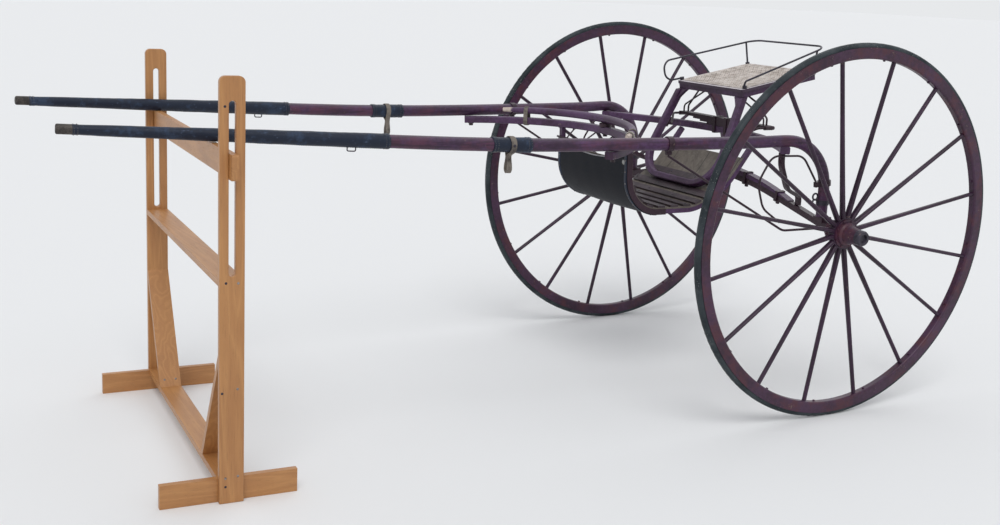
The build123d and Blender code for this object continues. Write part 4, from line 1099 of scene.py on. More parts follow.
@dataclass(frozen=True)
class TugLoops:
    """On each shaft's wrap, a strap with a stud goes round the shaft and hangs below it in a sewn loop."""

    shaft: ShaftLine = ShaftLine()
    forward: float = 1.320
    width: float = 0.020
    thickness: float = 0.0036
    stand_off: float = 0.0023
    slack: float = 0.0008
    drop: float = 0.074
    bulge: float = 0.011
    inward: float = 0.012
    stud: float = 0.0052
    stud_height: float = 0.003
    margin: float = 0.003
    stitch: float = 0.0042
    points: int = 220

    def _corners(self, side: Side) -> np.ndarray:
        """The strap's middle line, as out and up from the shaft's centre: round it, a waist and a drop.

        Args:
            side: Which shaft.

        Returns:
            Points that the line passes through.
        """
        forward = np.full(2, self.forward)
        edges = self.shaft.skin(side, forward, np.array((0.0, math.pi / 2)), 0.0)
        half = np.abs(edges - self.shaft.centre(side, forward))
        reach = self.stand_off + self.thickness / 2 + self.slack
        wide, deep = half[0, 1] + reach, half[1, 2] + reach
        angle = np.radians(np.linspace(-62.0, 222.0, 15))
        hug = np.stack([wide * np.cos(angle), deep * np.sin(angle)], axis=-1)
        waist, low = -deep - 0.010, -deep + 0.006 - self.drop
        gap, hip, belly = self.thickness / 2 + 0.0004, self.bulge * 0.80, self.bulge * 0.86
        drop = np.array((
            (-gap - 0.002, waist + 0.004), (-gap, waist - 0.006), (-gap - 0.003, waist - 0.020),
            (-belly, low + 0.022), (-hip, low + 0.009), (0.0, low), (hip, low + 0.009), (belly, low + 0.022),
            (gap + 0.003, waist - 0.020), (gap, waist - 0.006), (gap + 0.003, waist + 0.003),
        ))
        return np.concatenate((hug, drop - np.array((self.inward, 0.0))))

    def _place(self, side: Side, flat: np.ndarray, along: float = 0.0) -> np.ndarray:
        """Turns points out and up from the shaft's centre into places, and shifts them along the shaft."""
        points = np.stack([np.zeros(len(flat)), side.value * flat[:, 0], flat[:, 1]], axis=-1)
        return self.shaft.centre(side, self.forward) + points + along * self.shaft.run(side)

    def build(self, palette: Palette) -> None:
        """Makes both straps, their stitches below the shaft and their studs.

        Args:
            palette: The finishes.
        """
        straps, thread, studs = [], [], []
        for side in Side:
            flat = smooth_loop(self._corners(side), self.points)
            path = self._place(side, flat)
            straps.append(band_grid(path, self.shaft.run(side), self.width, self.thickness))
            tangent = loop_tangent(flat)
            outer = flat + np.stack([tangent[:, 1], -tangent[:, 0]], axis=-1) * self.thickness * 0.51
            sewn = (np.arange(len(flat)) % 4 == 0) & (flat[:, 1] < -0.005)
            for edge in (-1, 1):
                places = self._place(side, outer, edge * (self.width / 2 - self.margin))
                thread += stitch_grids(places[sewn], np.gradient(places, axis=0)[sewn], self.stitch)
            out = side.value * LEFTWARD
            seat = self.shaft.centre(side, self.forward) + (np.max(flat[:, 0]) + self.thickness / 2) * out
            studs.append(dome_grid(seat, out, self.stud, self.stud_height, 20))
        leather = grids_mesh("strap_loop_leather", straps, palette.strap_hide, Skin.RING)
        fit(leather, "tan_leather", "strap_loops")
        fit(grids_mesh("strap_loop_stitches", thread, palette.thread), "tan_leather")
        fit(grids_mesh("strap_loop_studs", studs, palette.black_iron), "black_iron")


@dataclass(frozen=True)
class BentBar:
    """The front crossbar's bend, an arc about a centre ahead with its plane tipped a little, and its tree."""

    centre_forward: float = 1.2035899
    centre_height: float = 1.0014521
    radius: float = 0.6068636
    tilt: float = math.radians(2.635218)
    depth: float = 0.028
    width: float = 0.034
    tree_lift: float = 0.044
    tree_depth: float = 0.032
    tree_span: float = 0.460

    @property
    def up(self) -> np.ndarray:
        """Away from the bar's top."""
        return np.array((math.sin(self.tilt), 0.0, math.cos(self.tilt)))

    @property
    def tree_turn(self) -> float:
        """The turn of the bend from the bar's middle to the singletree's end."""
        return math.asin(self.tree_span / self.radius)

    def axes(self, turn: float) -> tuple[np.ndarray, np.ndarray]:
        """The directions along and out of the bend.

        Args:
            turn: The turn from its middle.

        Returns:
            The two directions.
        """
        ahead = np.array((math.cos(self.tilt), 0.0, -math.sin(self.tilt)))
        along = ahead * math.sin(turn) + LEFTWARD * math.cos(turn)
        return along, -ahead * math.cos(turn) + LEFTWARD * math.sin(turn)

    def top(self, turn: float) -> np.ndarray:
        """The middle of the bar's top at a turn from its middle."""
        return at(self.centre_forward, 0.0, self.centre_height) + self.axes(turn)[1] * self.radius


@dataclass(frozen=True)
class TreeWrap:
    """A band round the crossbar and the singletree on it, which may lean as it climbs."""

    width: float
    thickness: float
    share: float
    slack: float
    lean: float
    points: int
    corner: float = 0.012
    corner_ease: float = 0.003
    waist: float = 0.006
    belly: float = 0.0004

    def grid(self, bar: BentBar, turn: float) -> np.ndarray:
        """The band at a turn of the bend: half round over the tree, then round the bar's square corners.

        Args:
            bar: The crossbar, and the tree of whose depth the band spans a share.
            turn: Where on the bend.

        Returns:
            The grid.
        """
        grow = self.thickness / 2 + self.slack
        reach, high = bar.tree_depth * self.share / 2 + grow, bar.tree_lift - bar.depth / 2
        angle = np.linspace(0, math.pi, 9)
        top = np.stack([reach * np.cos(angle), high + reach * np.sin(angle)], axis=-1)
        side, low = bar.width / 2 + grow, -bar.depth - grow
        left = np.array((
            (-side, -self.waist), (-side, low + self.corner),
            (-side + self.corner_ease, low + self.corner_ease), (-side + self.corner, low),
        ))
        right = left[::-1] * np.array((-1.0, 1.0))
        flat = smooth_loop(np.concatenate((top, left, [(0.0, low - self.belly)], right)), self.points)
        along, radial = bar.axes(turn)
        path = bar.top(turn) + flat[:, :1] * radial + flat[:, 1:] * (bar.up + self.lean * along)
        return band_grid(path, along, self.width, self.thickness)


@dataclass(frozen=True)
class TreeStraps:
    """Straps that hold the singletree's ends on the crossbar, the left one lashed with grey cord."""

    bar: BentBar = BentBar()
    strap: TreeWrap = TreeWrap(0.018, 0.0034, 0.81, 0.0006, 0.0, 150)
    cord: TreeWrap = TreeWrap(0.0038, 0.0038, 0.70, 0.0005, 0.6 * math.tan(math.radians(24.0)), 90)
    strap_place: float = 0.8
    cord_place: float = 0.90
    turns: int = 5
    cord_gap: float = 0.0004

    def build(self, palette: Palette) -> None:
        """Makes the straps and the cord's turns.

        Args:
            palette: The finishes.
        """
        end, pitch = self.bar.tree_turn, (self.cord.width + self.cord_gap) / self.bar.radius
        straps = [self.strap.grid(self.bar, side.value * self.strap_place * end) for side in Side]
        lashing = [
            self.cord.grid(self.bar, self.cord_place * end + (count - self.turns / 2) * pitch)
            for count in range(self.turns)
        ]
        leather = grids_mesh("tree_strap_leather", straps, palette.strap_hide, Skin.RING)
        fit(leather, "tan_leather", "tree_straps")
        fit(grids_mesh("tree_lashing", lashing, palette.cord, Skin.RING), "tan_leather")


@dataclass(frozen=True)
class RackLine:
    """The foot rack's bent line seen from the side, with arcs for corners."""

    corners: tuple[tuple[float, float], ...] = (
        (0.6464738, 0.9981088),
        (0.634, 0.724),
        (0.300, 0.724),
        (0.150, 0.8251763),
        (0.030, 0.987),
    )
    radii: tuple[float, ...] = (0.145, 0.180, 0.160)
    half_width: float = 0.250

    def _fine(self) -> np.ndarray:
        """The line as close points: each arc is turned in even steps about its centre.

        Returns:
            The points, as forward and up.
        """
        corners = np.array(self.corners)
        pieces = [corners[:1]]
        for before, corner, after, radius in zip(corners, corners[1:], corners[2:], self.radii):
            back, on = unit(before - corner), unit(after - corner)
            half = math.acos(float(np.dot(back, on))) / 2
            centre = corner + unit(back + on) * radius / math.sin(half)
            start = corner + back * radius / math.tan(half) - centre
            sign = math.copysign(1.0, float(on[0] * back[1] - on[1] * back[0]))
            turn = sign * np.linspace(0, math.pi - 2 * half, 40)[:, None]
            pieces.append(centre + np.cos(turn) * start + np.sin(turn) * np.array((-start[1], start[0])))
        return np.concatenate((*pieces, corners[-1:]))

    def read(self, length: np.ndarray) -> tuple[np.ndarray, np.ndarray]:
        """The line's points at lengths from its top, and the direction out of the rack there.

        Args:
            length: Lengths from the line's top end.

        Returns:
            The points and the outward directions, as forward and up.
        """
        fine = self._fine()
        run = run_length(fine)
        tangent = unit(np.gradient(fine, axis=0))
        out = np.stack([-tangent[:, 1], tangent[:, 0]], axis=-1)
        return read_line(length, run, fine), unit(read_line(length, run, out))


@dataclass(frozen=True)
class DashLeather:
    """The dash: one hide stretched between its edge irons, bellied a little, bound and piped."""

    line: RackLine = RackLine()
    start: float = 0.0447
    finish: float = 0.3525
    lift: float = 0.0113
    thickness: float = 0.0036
    sag: float = 0.034
    belly: float = 0.0045
    ripple: float = 0.0006
    fine_ripple: float = 0.00015
    binding: float = 0.017
    binding_rise: float = 0.0016
    binding_sink: float = 0.0004
    rivet: float = 0.0032
    rivet_height: float = 0.0022
    rivet_seat: float = 0.0012
    rivet_pitch: float = 0.042
    piping: float = 0.0028
    piping_place: float = -0.004
    rows: int = 72
    columns: int = 60

    def _sheet(self, share: Numbers, left: Numbers, lift: Numbers) -> np.ndarray:
        """Points of the hide: along the rack's line by share, its top edge sagging as 1 - (2y/w)^2.

        Args:
            share: 0 at the top edge and 1 at the rear edge.
            left: Places across, from -1 to 1.
            lift: Distance out of the hide's middle.

        Returns:
            The points.
        """
        share, left, lift = np.broadcast_arrays(share, left, lift)
        begin = self.start + self.sag * (1 - left**2)
        point, out = self.line.read(begin + share * (self.finish - begin))
        full = np.sin(np.clip(share, 0, 1) * math.pi) * (1 - left**2)
        slow, fine = np.sin(9.0 * share + 4.0 * left), np.sin(17.0 * left - 6.0 * share)
        ripple = self.ripple * slow + self.fine_ripple * fine
        away = self.lift + lift + self.belly * full + ripple * (1 - left**4)
        flat = point + away[..., None] * out
        return at(flat[..., 0], left * self.line.half_width, flat[..., 1])

    def _hide(self) -> np.ndarray:
        """The closed section at each share: the front face, the left edge, the back face, the right edge.

        Returns:
            The grid, shares by points round.
        """
        share, left = np.linspace(0, 1, self.rows)[:, None], np.linspace(-1, 1, self.columns)[None, :]
        half = self.thickness / 2
        edge = np.array(((0.55, 0.0, -0.55),)) * half
        faces = (
            self._sheet(share, left, half), self._sheet(share, 1.0, edge),
            self._sheet(share, left[:, ::-1], -half), self._sheet(share, -1.0, edge[:, ::-1]),
        )
        return np.concatenate(faces, axis=1)

    def _binding(self, edge: int) -> np.ndarray:
        """The strip that binds an edge: a low arch over the hide's face, with its underside in the hide.

        Args:
            edge: The sign of Y at the edge.

        Returns:
            The grid, shares by points round.
        """
        share, half = np.linspace(0, 1, self.rows)[:, None], self.thickness / 2
        across = np.linspace(edge * 0.999, edge * (1 - self.binding / self.line.half_width), 6)
        arch = self.binding_rise * np.array((0.2, 0.8, 1.0, 1.0, 0.8, 0.1))
        under = self._sheet(share, across[::-1], half - self.binding_sink)
        return np.concatenate((self._sheet(share, across, half + arch), under), axis=1)

    def _rivets(self, edge: int) -> list[np.ndarray]:
        """Rivet heads down the middle of an edge's binding.

        Args:
            edge: The sign of Y at the edge.

        Returns:
            One small grid for each head.
        """
        count = int((self.finish - self.start) / self.rivet_pitch)
        left = edge * (1 - self.binding / 2 / self.line.half_width)
        share, seat = (np.arange(count) + 0.5) / count, self.thickness / 2 + self.rivet_seat
        low, high = self._sheet(share, left, seat), self._sheet(share, left, seat + 0.01)
        return [dome_grid(*spot, self.rivet, self.rivet_height, 14) for spot in zip(low, high - low)]

    def build(self, palette: Palette) -> None:
        """Makes the hide, the binding down its edges, the piping along its top and the rivets.

        Args:
            palette: The finishes.
        """
        hide = grids_mesh("dash_leather", [self._hide()], palette.dash_hide)
        fit(hide, "navy_leather", "dash")
        edges = (-1, 1)
        strips = [self._binding(edge) for edge in edges]
        rivets = [head for edge in edges for head in self._rivets(edge)]
        top = self._sheet(self.piping_place, np.linspace(-1, 1, self.columns), 0.0)
        pipe = tube_grid(top, self.piping, 10)
        fit(grids_mesh("dash_binding", strips, palette.shaft_hide), "navy_leather")
        fit(grids_mesh("dash_piping", [pipe], palette.piping), "navy_leather")
        fit(grids_mesh("dash_rivets", rivets, palette.steel), "black_iron")
        width, length = 2 * self.line.half_width, self.finish - self.start
        width * (length - self.sag * 2 / 3)


@dataclass(frozen=True)
class UpperSlats:
    """Two more slats on the rack's sloping floor, below and above the foot of the seat's bow."""

    line: RackLine = RackLine()
    places: tuple[float, ...] = (0.617, 0.695)
    width: float = 0.036
    thickness: float = 0.008
    lift: float = 0.0196

    def build(self, palette: Palette) -> None:
        """Makes the slats: a squared round of power 0.3 for a section, carried straight across the rack.

        Args:
            palette: The finishes.
        """
        flat, high = squared_round(32, 0.3)
        flat, high = flat * self.width / 2, high * self.thickness / 2
        across = np.linspace(-1, 1, 12)[:, None] * self.line.half_width
        slats = []
        for place in self.places:
            point, out = self.line.read(place + flat)
            section = point - (self.lift + high)[:, None] * out
            slats.append(at(section[None, :, 0], across, section[None, :, 1]))
        fit(grids_mesh("upper_slats", slats, palette.slat_wood), "slat_wood")


@dataclass(frozen=True)
class SlatScrews:
    """Four round screw heads across each slat in the foot rack."""

    line: RackLine = RackLine()
    upper: UpperSlats = UpperSlats()
    last: float = 0.560
    pitch: float = 0.062
    count: int = 7
    across: tuple[float, ...] = (-1.0, -0.34, 0.34, 1.0)
    lift: float = 0.0236
    inset: float = 0.014
    radius: float = 0.0042
    height: float = 0.0018

    def build(self, palette: Palette) -> None:
        """Makes the screw heads.

        Args:
            palette: The finishes.
        """
        places = np.concatenate((self.upper.places, self.last - self.pitch * np.arange(self.count)))
        point, out = self.line.read(places)
        seat = point - out * self.lift
        left = np.array(self.across) * (self.line.half_width - self.inset)
        spots = at(seat[:, None, 0], left, seat[:, None, 1])
        inward = -np.stack([out[:, 0], np.zeros(len(out)), out[:, 1]], axis=-1)
        heads = [
            dome_grid(spot, axis, self.radius, self.height, 14)
            for row, axis in zip(spots, inward)
            for spot in row
        ]
        fit(grids_mesh("slat_screws", heads, palette.black_iron), "black_iron")


@dataclass(frozen=True)
class SeatPlane:
    """The sloping seat, with places counted back from its front edge, to the left and above its top."""

    front: float = 0.095
    height: float = 1.195
    slope: float = math.radians(11.3)
    width: float = 0.434
    depth: float = 0.393
    bar: float = 0.026

    @property
    def opening(self) -> tuple[float, float]:
        """Half the depth and half the width between the frame's bars."""
        return self.depth / 2 - self.bar, self.width / 2 - self.bar

    @property
    def normal(self) -> np.ndarray:
        """The direction out of the seat's top."""
        return np.array((math.sin(self.slope), 0.0, math.cos(self.slope)))

    def points(self, back: Numbers, left: Numbers, up: Numbers) -> np.ndarray:
        """Places on the seat as points."""
        forward = self.front - back * math.cos(self.slope) + up * math.sin(self.slope)
        return at(forward, left, self.height + back * math.sin(self.slope) + up * math.cos(self.slope))


@dataclass(frozen=True)
class CanePanel:
    """Six-way cane: pairs of strands both ways and single ones on both diagonals, with a binder round it."""

    seat: SeatPlane = SeatPlane()
    pitch: float = 0.0135
    strand: float = 0.0024
    strand_thickness: float = 0.0009
    pair_gap: float = 0.0032
    pair_layers: tuple[float, float] = (-0.0003, 0.0003)
    slant_layers: tuple[float, float] = (0.0009, 0.0013)
    wave: float = 0.00045
    edge_lift: float = 0.0012
    lap: float = 0.0085
    sag: float = 0.007
    sag_power: float = 0.6
    shortest: float = 0.012
    binder: float = 0.006
    binder_thickness: float = 0.0018
    binder_lift: float = 0.0021

    def _lift(self, back: np.ndarray, left: np.ndarray) -> np.ndarray:
        """Height above the seat: on the frame at the edge, less a sag of ((1 - u^2)(1 - v^2))^p inside.

        Args:
            back: Places back from the front edge.
            left: Places to the left of the middle.

        Returns:
            The heights.
        """
        deep, wide = self.seat.opening
        u = np.clip((back - self.seat.depth / 2) / deep, -1, 1)
        v = np.clip(left / wide, -1, 1)
        return self.edge_lift - self.sag * ((1 - u**2) * (1 - v**2)) ** self.sag_power

    def _strand(self, start: np.ndarray, end: np.ndarray, phase: float, base: float) -> np.ndarray:
        """One strand as a flat ribbon: its middle waves up and down once in two pitches.

        Args:
            start: Where it starts, as back and left.
            end: Where it ends.
            phase: Where its wave starts.
            base: Its layer's height.

        Returns:
            The grid, points by 4 by 3.
        """
        run = end - start
        length = float(np.linalg.norm(run))
        share = np.linspace(0, 1, max(4, round(length / self.pitch * 3)))
        crossed = share * max(abs(run)) / self.pitch
        wave = base + self.wave * np.cos(math.pi * crossed + phase)
        corners = np.array(((-1, -1), (1, -1), (1, 1), (-1, 1))) / 2
        across = np.array((-run[1], run[0])) / length * self.strand
        spot = start + share[:, None, None] * run + corners[:, :1] * across
        back, left = spot[..., 0], spot[..., 1]
        up = self._lift(back, left) + wave[:, None] + corners[:, 1] * self.strand_thickness
        return self.seat.points(back, left, up)

    def _weave(self) -> list[np.ndarray]:
        """All the strands between the holes in the frame.

        Returns:
            One grid for each strand.
        """
        deep, wide = self.seat.opening
        middle = self.seat.depth / 2
        across, along = round(2 * wide / self.pitch), round(2 * deep / self.pitch)
        lefts = (np.arange(across) - (across - 1) / 2) * self.pitch
        backs = middle + (np.arange(along) - (along - 1) / 2) * self.pitch
        low = np.array((middle - deep - self.lap, -wide - self.lap))
        high = np.array((middle + deep + self.lap, wide + self.lap))
        sides = np.array((-1, 1)) * self.pair_gap / 2
        grids = []
        for count, left in enumerate(lefts):
            for place in left + sides:
                ends = np.array(((low[0], place), (high[0], place)))
                grids.append(self._strand(*ends, math.pi * count, self.pair_layers[0]))
        for count, back in enumerate(backs):
            for place in back + sides:
                ends = np.array(((place, low[1]), (place, high[1])))
                grids.append(self._strand(*ends, math.pi * (count + 1), self.pair_layers[1]))
        for slant, base, left in zip((1.0, -1.0), self.slant_layers, (lefts[0], lefts[-1])):
            for shift in range(-along - across, along + across):
                foot = np.array((backs[0] + shift * self.pitch, left))
                ends = self._clip(foot, np.array((1.0, slant)), low, high)
                if ends is not None:
                    grids.append(self._strand(*ends, math.pi * shift, base))
        return grids

    def _clip(
        self, foot: np.ndarray, run: np.ndarray, low: np.ndarray, high: np.ndarray
    ) -> tuple[np.ndarray, np.ndarray] | None:
        """The part of a slanting line that lies inside the frame's holes.

        Args:
            foot: A point of the line.
            run: Its direction.
            low: The lowest corner of the holes.
            high: The highest corner.

        Returns:
            Its ends, or None where it misses or is very short.
        """
        first, second = (low - foot) / run, (high - foot) / run
        enter = float(np.max(np.minimum(first, second)))
        leave = float(np.min(np.maximum(first, second)))
        if leave - enter < self.shortest:
            return None
        return foot + enter * run, foot + leave * run

    def _binder(self) -> np.ndarray:
        """The strip over the holes: a flat strand round an oblong with rounded corners.

        Returns:
            The grid, path points by points round the strand.
        """
        deep, wide = (half + self.lap for half in self.seat.opening)
        back, left = squared_round(240, 0.09)
        flat = smooth_loop(np.stack([self.seat.depth / 2 + deep * back, wide * left], axis=-1), 320)
        path = self.seat.points(flat[:, 0], flat[:, 1], self.binder_lift)
        across = np.cross(loop_tangent(path), self.seat.normal)
        return band_grid(path, across, self.binder, self.binder_thickness)

    def build(self, palette: Palette) -> None:
        """Makes the woven panel and its binder.

        Args:
            palette: The finishes.
        """
        fit(grids_mesh("cane_weave", self._weave(), palette.cane, smooth=False), "pale_cane", "seat_cane")
        fit(grids_mesh("cane_binder", [self._binder()], palette.cane, Skin.RING), "pale_cane")


# The stand


@dataclass(frozen=True)
class Stand:
    """Where the stand is, how far it is turned from the cart, and the sizes of its uprights and braces."""

    forward: float = 2.285
    offset: float = 0.0925
    turn: float = math.radians(-2.98)
    span: float = 1.161
    board: float = 0.074
    thickness: float = 0.020
    brace_rise: float = 0.460
    brace_reach: float = 0.230

    def place(self, ahead: Numbers, left: Numbers, up: Numbers) -> np.ndarray:
        """Places on the stand, ahead and to the left of its middle and up from the floor."""
        sine, cosine = math.sin(self.turn), math.cos(self.turn)
        return at(self.forward + ahead * cosine - left * sine, self.offset + ahead * sine + left * cosine, up)


@dataclass(frozen=True)
class StandUprights:
    """The stand's slotted uprights, with rounded upper corners and eased edges."""

    stand: Stand = Stand()
    height: float = 1.280
    slot_low: float = 0.700
    slot_high: float = 1.210
    slot_half: float = 0.0105
    slot_flat: float = 0.0004
    corner: float = 0.018
    foot_corner: float = 0.0025
    ease: float = 0.0011
    band: float = 0.0041
    board_band: float = 0.002255

    def _oblong(
        self, half: float, low: float, high: float, low_round: float, high_round: float
    ) -> np.ndarray:
        """An oblong as ahead and up: a quarter round at each corner, from the lower front one upwards.

        Args:
            half: Half its width.
            low: The height of its foot.
            high: The height of its top.
            low_round: The radius of its lower corners.
            high_round: The radius of its upper corners.

        Returns:
            The points, 36 by 2.
        """
        radius = np.array((low_round, high_round, high_round, low_round))[:, None]
        side = np.array((1, 1, -1, -1))[:, None]
        middle = np.array((low + low_round, high - high_round, high - high_round, low + low_round))[:, None]
        angle = (np.arange(4)[:, None] + np.linspace(-1, 0, 9)) * math.pi / 2
        ahead, up = side * (half - radius) + radius * np.cos(angle), middle + radius * np.sin(angle)
        return np.stack([ahead, up], axis=-1).reshape(-1, 2)

    def _board(self, inset: float) -> np.ndarray:
        """The board's outline, drawn in by an inset."""
        rounds = self.foot_corner - inset, self.corner - inset
        return self._oblong(self.stand.board / 2 - inset, inset, self.height - inset, *rounds)

    def _slot(self, spread: float) -> np.ndarray:
        """The slot's outline, whose ends are all but half round.

        Args:
            spread: How far it is widened all round.

        Returns:
            The points, 36 by 2.
        """
        half = self.slot_half + spread
        rounds = half - self.slot_flat, half - self.slot_flat
        return self._oblong(half, self.slot_low - spread, self.slot_high + spread, *rounds)

    def build(self, palette: Palette) -> None:
        """Makes each upright as one ring of outlines: edge, one face, the slot's wall and the other face.

        Args:
            palette: The finishes.
        """
        half, ease, band = self.stand.thickness / 2, self.ease, self.band
        across = (-half + ease, -half + band, half - band, half - ease)
        rings = [(self._board(0.0), depth) for depth in across]
        rings += [(self._board(inset), half) for inset in (ease, self.board_band)]
        rings += [(self._slot(spread), half) for spread in (band, ease)]
        rings += [(self._slot(0.0), depth) for depth in across[::-1]]
        rings += [(self._slot(spread), -half) for spread in (ease, band)]
        rings += [(self._board(inset), -half) for inset in (self.board_band, ease)]
        outlines = np.stack([outline for outline, _ in rings])
        depths = np.array([depth for _, depth in rings])[:, None]
        for side in Side:
            left = side.value * (self.stand.span / 2 - half) + depths
            grid = self.stand.place(outlines[..., 0], left, outlines[..., 1])
            board = grids_mesh(f"upright_board_{side.word}", [grid], palette.oak[Grain.UP], Skin.RING)
            fit(board, "oak", f"stand_upright_{side.word}")


@dataclass(frozen=True)
class StandFasteners:
    """Screw heads where the stand's boards meet: dark ones, bright ones, and a pair at each brace's foot.

    A screw's place is ahead of the upright's middle and up from the floor.
    """

    stand: Stand = Stand()
    dark: tuple[tuple[float, float], ...] = ((0.018, 0.681), (0.029, 0.347), (0.0185, 0.053), (0.022, 1.194))
    bright: tuple[tuple[float, float], ...] = (
        (-0.018, 0.679), (-0.017, 0.357), (0.0185, 0.080), (-0.019, 0.083),
    )
    brace_inset: float = 0.06
    brace_spread: float = 0.020
    radius: float = 0.0044
    height: float = 0.0012
    sink: float = 0.0005

    def _head(self, seat: np.ndarray, out: np.ndarray) -> np.ndarray:
        """One head, sunk a little into the face that it sits on."""
        return dome_grid(seat - self.sink * out, out, self.radius, self.height, 16)

    def _heads(self, screws: tuple[tuple[float, float], ...]) -> list[np.ndarray]:
        """The heads of one kind on the outer faces of both uprights.

        Args:
            screws: Their places, as ahead and up.

        Returns:
            One small grid for each head.
        """
        heads = []
        for side in Side:
            for ahead, up in screws:
                seat = self.stand.place(ahead, side.value * self.stand.span / 2, up)
                further = self.stand.place(ahead, side.value * (self.stand.span / 2 + 1.0), up)
                heads.append(self._head(seat, further - seat))
        return heads

    def _brace_heads(self) -> list[np.ndarray]:
        """Two heads at the foot of each brace's sloping upper face.

        Returns:
            One small grid for each head.
        """
        heads, stand = [], self.stand
        rise = stand.brace_rise - stand.board
        up = stand.board + rise * self.brace_inset
        for side in Side:
            reach = stand.brace_reach * (1 - self.brace_inset)
            left = side.value * (stand.span / 2 - stand.thickness - reach)
            for ahead in (-self.brace_spread, self.brace_spread):
                seat = stand.place(ahead, left, up)
                further = stand.place(ahead, left - side.value * rise, up + stand.brace_reach)
                heads.append(self._head(seat, unit(further - seat)))
        return heads

    def build(self, palette: Palette) -> None:
        """Makes the screw heads.

        Args:
            palette: The finishes.
        """
        dark, bright = self._heads(self.dark), self._heads(self.bright) + self._brace_heads()
        fit(grids_mesh("stand_screws", dark, palette.black_iron), "oak")
        fit(grids_mesh("stand_bright_screws", bright, palette.steel), "oak")


NODE_FINISHES: dict[str, tuple[str, ...]] = {
    "wheel_paint": both("felloe", "tyre_channel", "hub"),
    "spoke_paint": both("spokes"),
    "shaft_paint": both("shaft"),
    "wood_paint": ("axle_bed", "front_crossbar", "rear_crossbar", "rack_rails", "seat_apron", "seat_bow"),
    "iron_paint": (
        "axle", "axle_clips", "tree_plate", "leaf_spring", "spring_clamps", "spring_hangers", "seat_irons",
        "seat_arch", "shaft_feet", "shaft_clips", "shaft_stays", "shaft_knees", "loop_rods", "dash_irons",
        "bar_bolts",
    ),
    "tree_paint": ("singletree",),
    "black_iron": (*both("hub_cap"), "footman_loops", "seat_rail", "leg_hooks"),
    "rubber": both("tyre"),
    "brass": both("shaft_tip"),
    "seat_wood": ("seat_frame",),
    "slat_wood": ("rack_slats",),
    "board": ("rack_floor",),
}
OAK_NODES: dict[Grain, tuple[str, ...]] = {
    Grain.ALONG: both("stand_foot"),
    Grain.ACROSS: ("stand_shelf", "stand_stretcher", "stand_bar"),
    Grain.UP: (*both("stand_upright"), "stand_braces"),
}


# The studio


def turn_to(thing: bpy.types.Object, right: np.ndarray, up: np.ndarray, place: np.ndarray) -> None:
    """Sets a camera's or lamp's place and turn. It looks the way of up x right.

    Args:
        thing: The camera or lamp.
        right: Its own x direction.
        up: Its own y direction.
        place: Where it is.
    """
    matrix = np.eye(4)
    matrix[:3] = np.stack([right, up, np.cross(right, up), place], axis=1)
    thing.matrix_world = Matrix(matrix.tolist())


@dataclass(frozen=True)
class SoftSun:
    """A broad lamp that lights the floor evenly. Its place says nothing, since only its turn counts."""

    name: str
    shines: Point
    spread: float
    power: float
    away: float = 8.0

    def build(self) -> None:
        """Makes the lamp, turned the way that it shines."""
        data = bpy.data.lights.new(self.name, "SUN")
        data.angle = math.radians(self.spread)
        data.energy = self.power
        lamp = bpy.data.objects.new(self.name, data)
        bpy.context.collection.objects.link(lamp)
        ahead = unit(np.array(self.shines))
        side = unit(np.cross(ahead, UPWARD))
        turn_to(lamp, side, np.cross(side, ahead), -self.away * ahead)


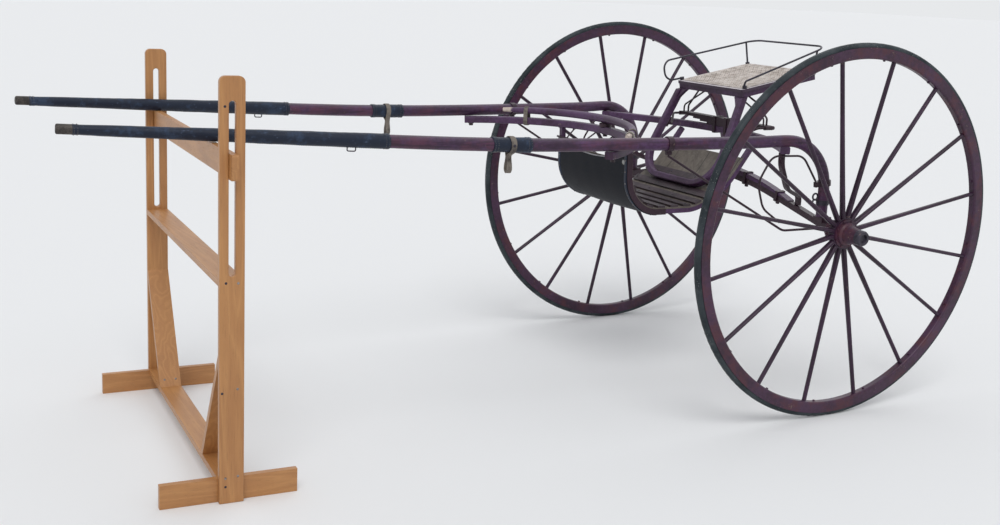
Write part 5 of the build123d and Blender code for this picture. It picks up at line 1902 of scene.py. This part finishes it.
@dataclass(frozen=True)
class Studio:
    """The camera at the photograph's place, a pale floor and two soft lamps, by the camera and behind."""

    eye: Point = (2.321, 4.073, 1.566)
    yaw: float = math.radians(29.29)
    dip: float = math.radians(11.19)
    roll: float = math.radians(2.63)
    focal: float = 44.325
    sensor: float = 36.0
    shift: float = -0.0344
    floor_half: float = 120.0
    floor_height: float = -0.0005
    floor_colour: Colour = (0.84, 0.845, 0.85)
    lamps: tuple[SoftSun, ...] = (
        SoftSun("key", (-0.28, -0.62, -0.95), 32.0, 1.15),
        SoftSun("rim", (0.75, 0.50, -0.80), 50.0, 0.40),
    )
    surround: float = 0.62
    surround_colour: Colour = (0.95, 0.97, 1.0)
    backdrop: Colour = (0.80, 0.815, 0.83)

    def build(self) -> None:
        """Makes the camera, the floor, the lamps and the world."""
        self._camera()
        self._floor()
        for lamp in self.lamps:
            lamp.build()
        self._world()

    def _camera(self) -> None:
        """Turns the camera by yaw, dip and roll: its columns are right, up and backward."""
        sine, cosine, level_run = math.sin(self.yaw), math.cos(self.yaw), math.cos(self.dip)
        ahead = np.array((-sine * level_run, -cosine * level_run, -math.sin(self.dip)))
        level = np.array((-cosine, sine, 0.0))
        over = np.cross(level, ahead)
        right = math.cos(self.roll) * level + math.sin(self.roll) * over
        up = math.cos(self.roll) * over - math.sin(self.roll) * level
        data = bpy.data.cameras.new("camera")
        data.sensor_fit = "HORIZONTAL"
        data.sensor_width = self.sensor
        data.lens = self.focal
        data.shift_y = self.shift
        camera = bpy.data.objects.new("camera", data)
        bpy.context.collection.objects.link(camera)
        turn_to(camera, right, up, np.array(self.eye))
        bpy.context.scene.camera = camera

    def _floor(self) -> None:
        """Lays a pale floor, a hair below the wheels and the stand."""
        material = Recipe("studio_floor").finish(self.floor_colour, 0.95, Specular_IOR_Level=0.1)
        edge = np.array((-self.floor_half, self.floor_half))
        x, y = np.meshgrid(edge, edge, indexing="ij")
        corners = np.stack([x, y, np.full_like(x, self.floor_height)], axis=-1)
        grids_mesh("studio_floor", [corners], material, Skin.OPEN)

    def _world(self) -> None:
        """Sets a soft surround, which the camera, mirrors and glass see as pale as the floor."""
        world = bpy.data.worlds.new("surround")
        world.use_nodes = True
        graph = Graph(world.node_tree)
        light = {"Color": opaque(self.surround_colour), "Strength": self.surround}
        soft = graph.node("ShaderNodeBackground", None, light)
        seen = graph.node("ShaderNodeBackground", None, {"Color": opaque(self.backdrop)})
        camera, mirror, glass = (
            graph.node("ShaderNodeLightPath", output=ray)
            for ray in ("Is Camera Ray", "Is Glossy Ray", "Is Transmission Ray")
        )
        either = camera.maths("MAXIMUM", mirror).maths("MAXIMUM", glass)
        mixed = graph.node("ShaderNodeMixShader", None, {0: either, 1: soft, 2: seen})
        graph.close("ShaderNodeOutputWorld", mixed)
        bpy.context.scene.world = world


def dress_nodes(frame: dict, palette: Palette) -> None:
    """Gives every CAD node its finish.

    Args:
        frame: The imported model.
        palette: The finishes.
    """
    for name, nodes in NODE_FINISHES.items():
        for node in nodes:
            set_finish(frame["nodes"][node], getattr(palette, name))
    for grain, nodes in OAK_NODES.items():
        for node in nodes:
            set_finish(frame["nodes"][node], palette.oak[grain])


def set_finish(piece: bpy.types.Object, material: bpy.types.Material) -> None:
    """Puts one material on all of an object.

    Args:
        piece: The object.
        material: The finish.
    """
    for slot in piece.material_slots:
        slot.material = material
    LOG.info("dressed %s with %s", piece.name, material.name)


def main() -> None:
    """Builds the studio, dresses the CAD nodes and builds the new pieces."""
    logging.basicConfig(level=logging.INFO, format="%(message)s")
    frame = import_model()
    bpy.context.scene.view_settings.view_transform = "Standard"
    Studio().build()
    palette = Palette()
    dress_nodes(frame, palette)
    parts = (
        ShaftSleeve("shaft_cover", 1.750, 2.705),
        ShaftSleeve("shaft_wrap", 1.250, 1.390),
        TugLoops(),
        TreeStraps(),
        DashLeather(),
        UpperSlats(),
        SlatScrews(),
        CanePanel(),
        StandUprights(),
        StandFasteners(),
    )
    for part in parts:
        part.build(palette)


if __name__ == "__main__":
    main()
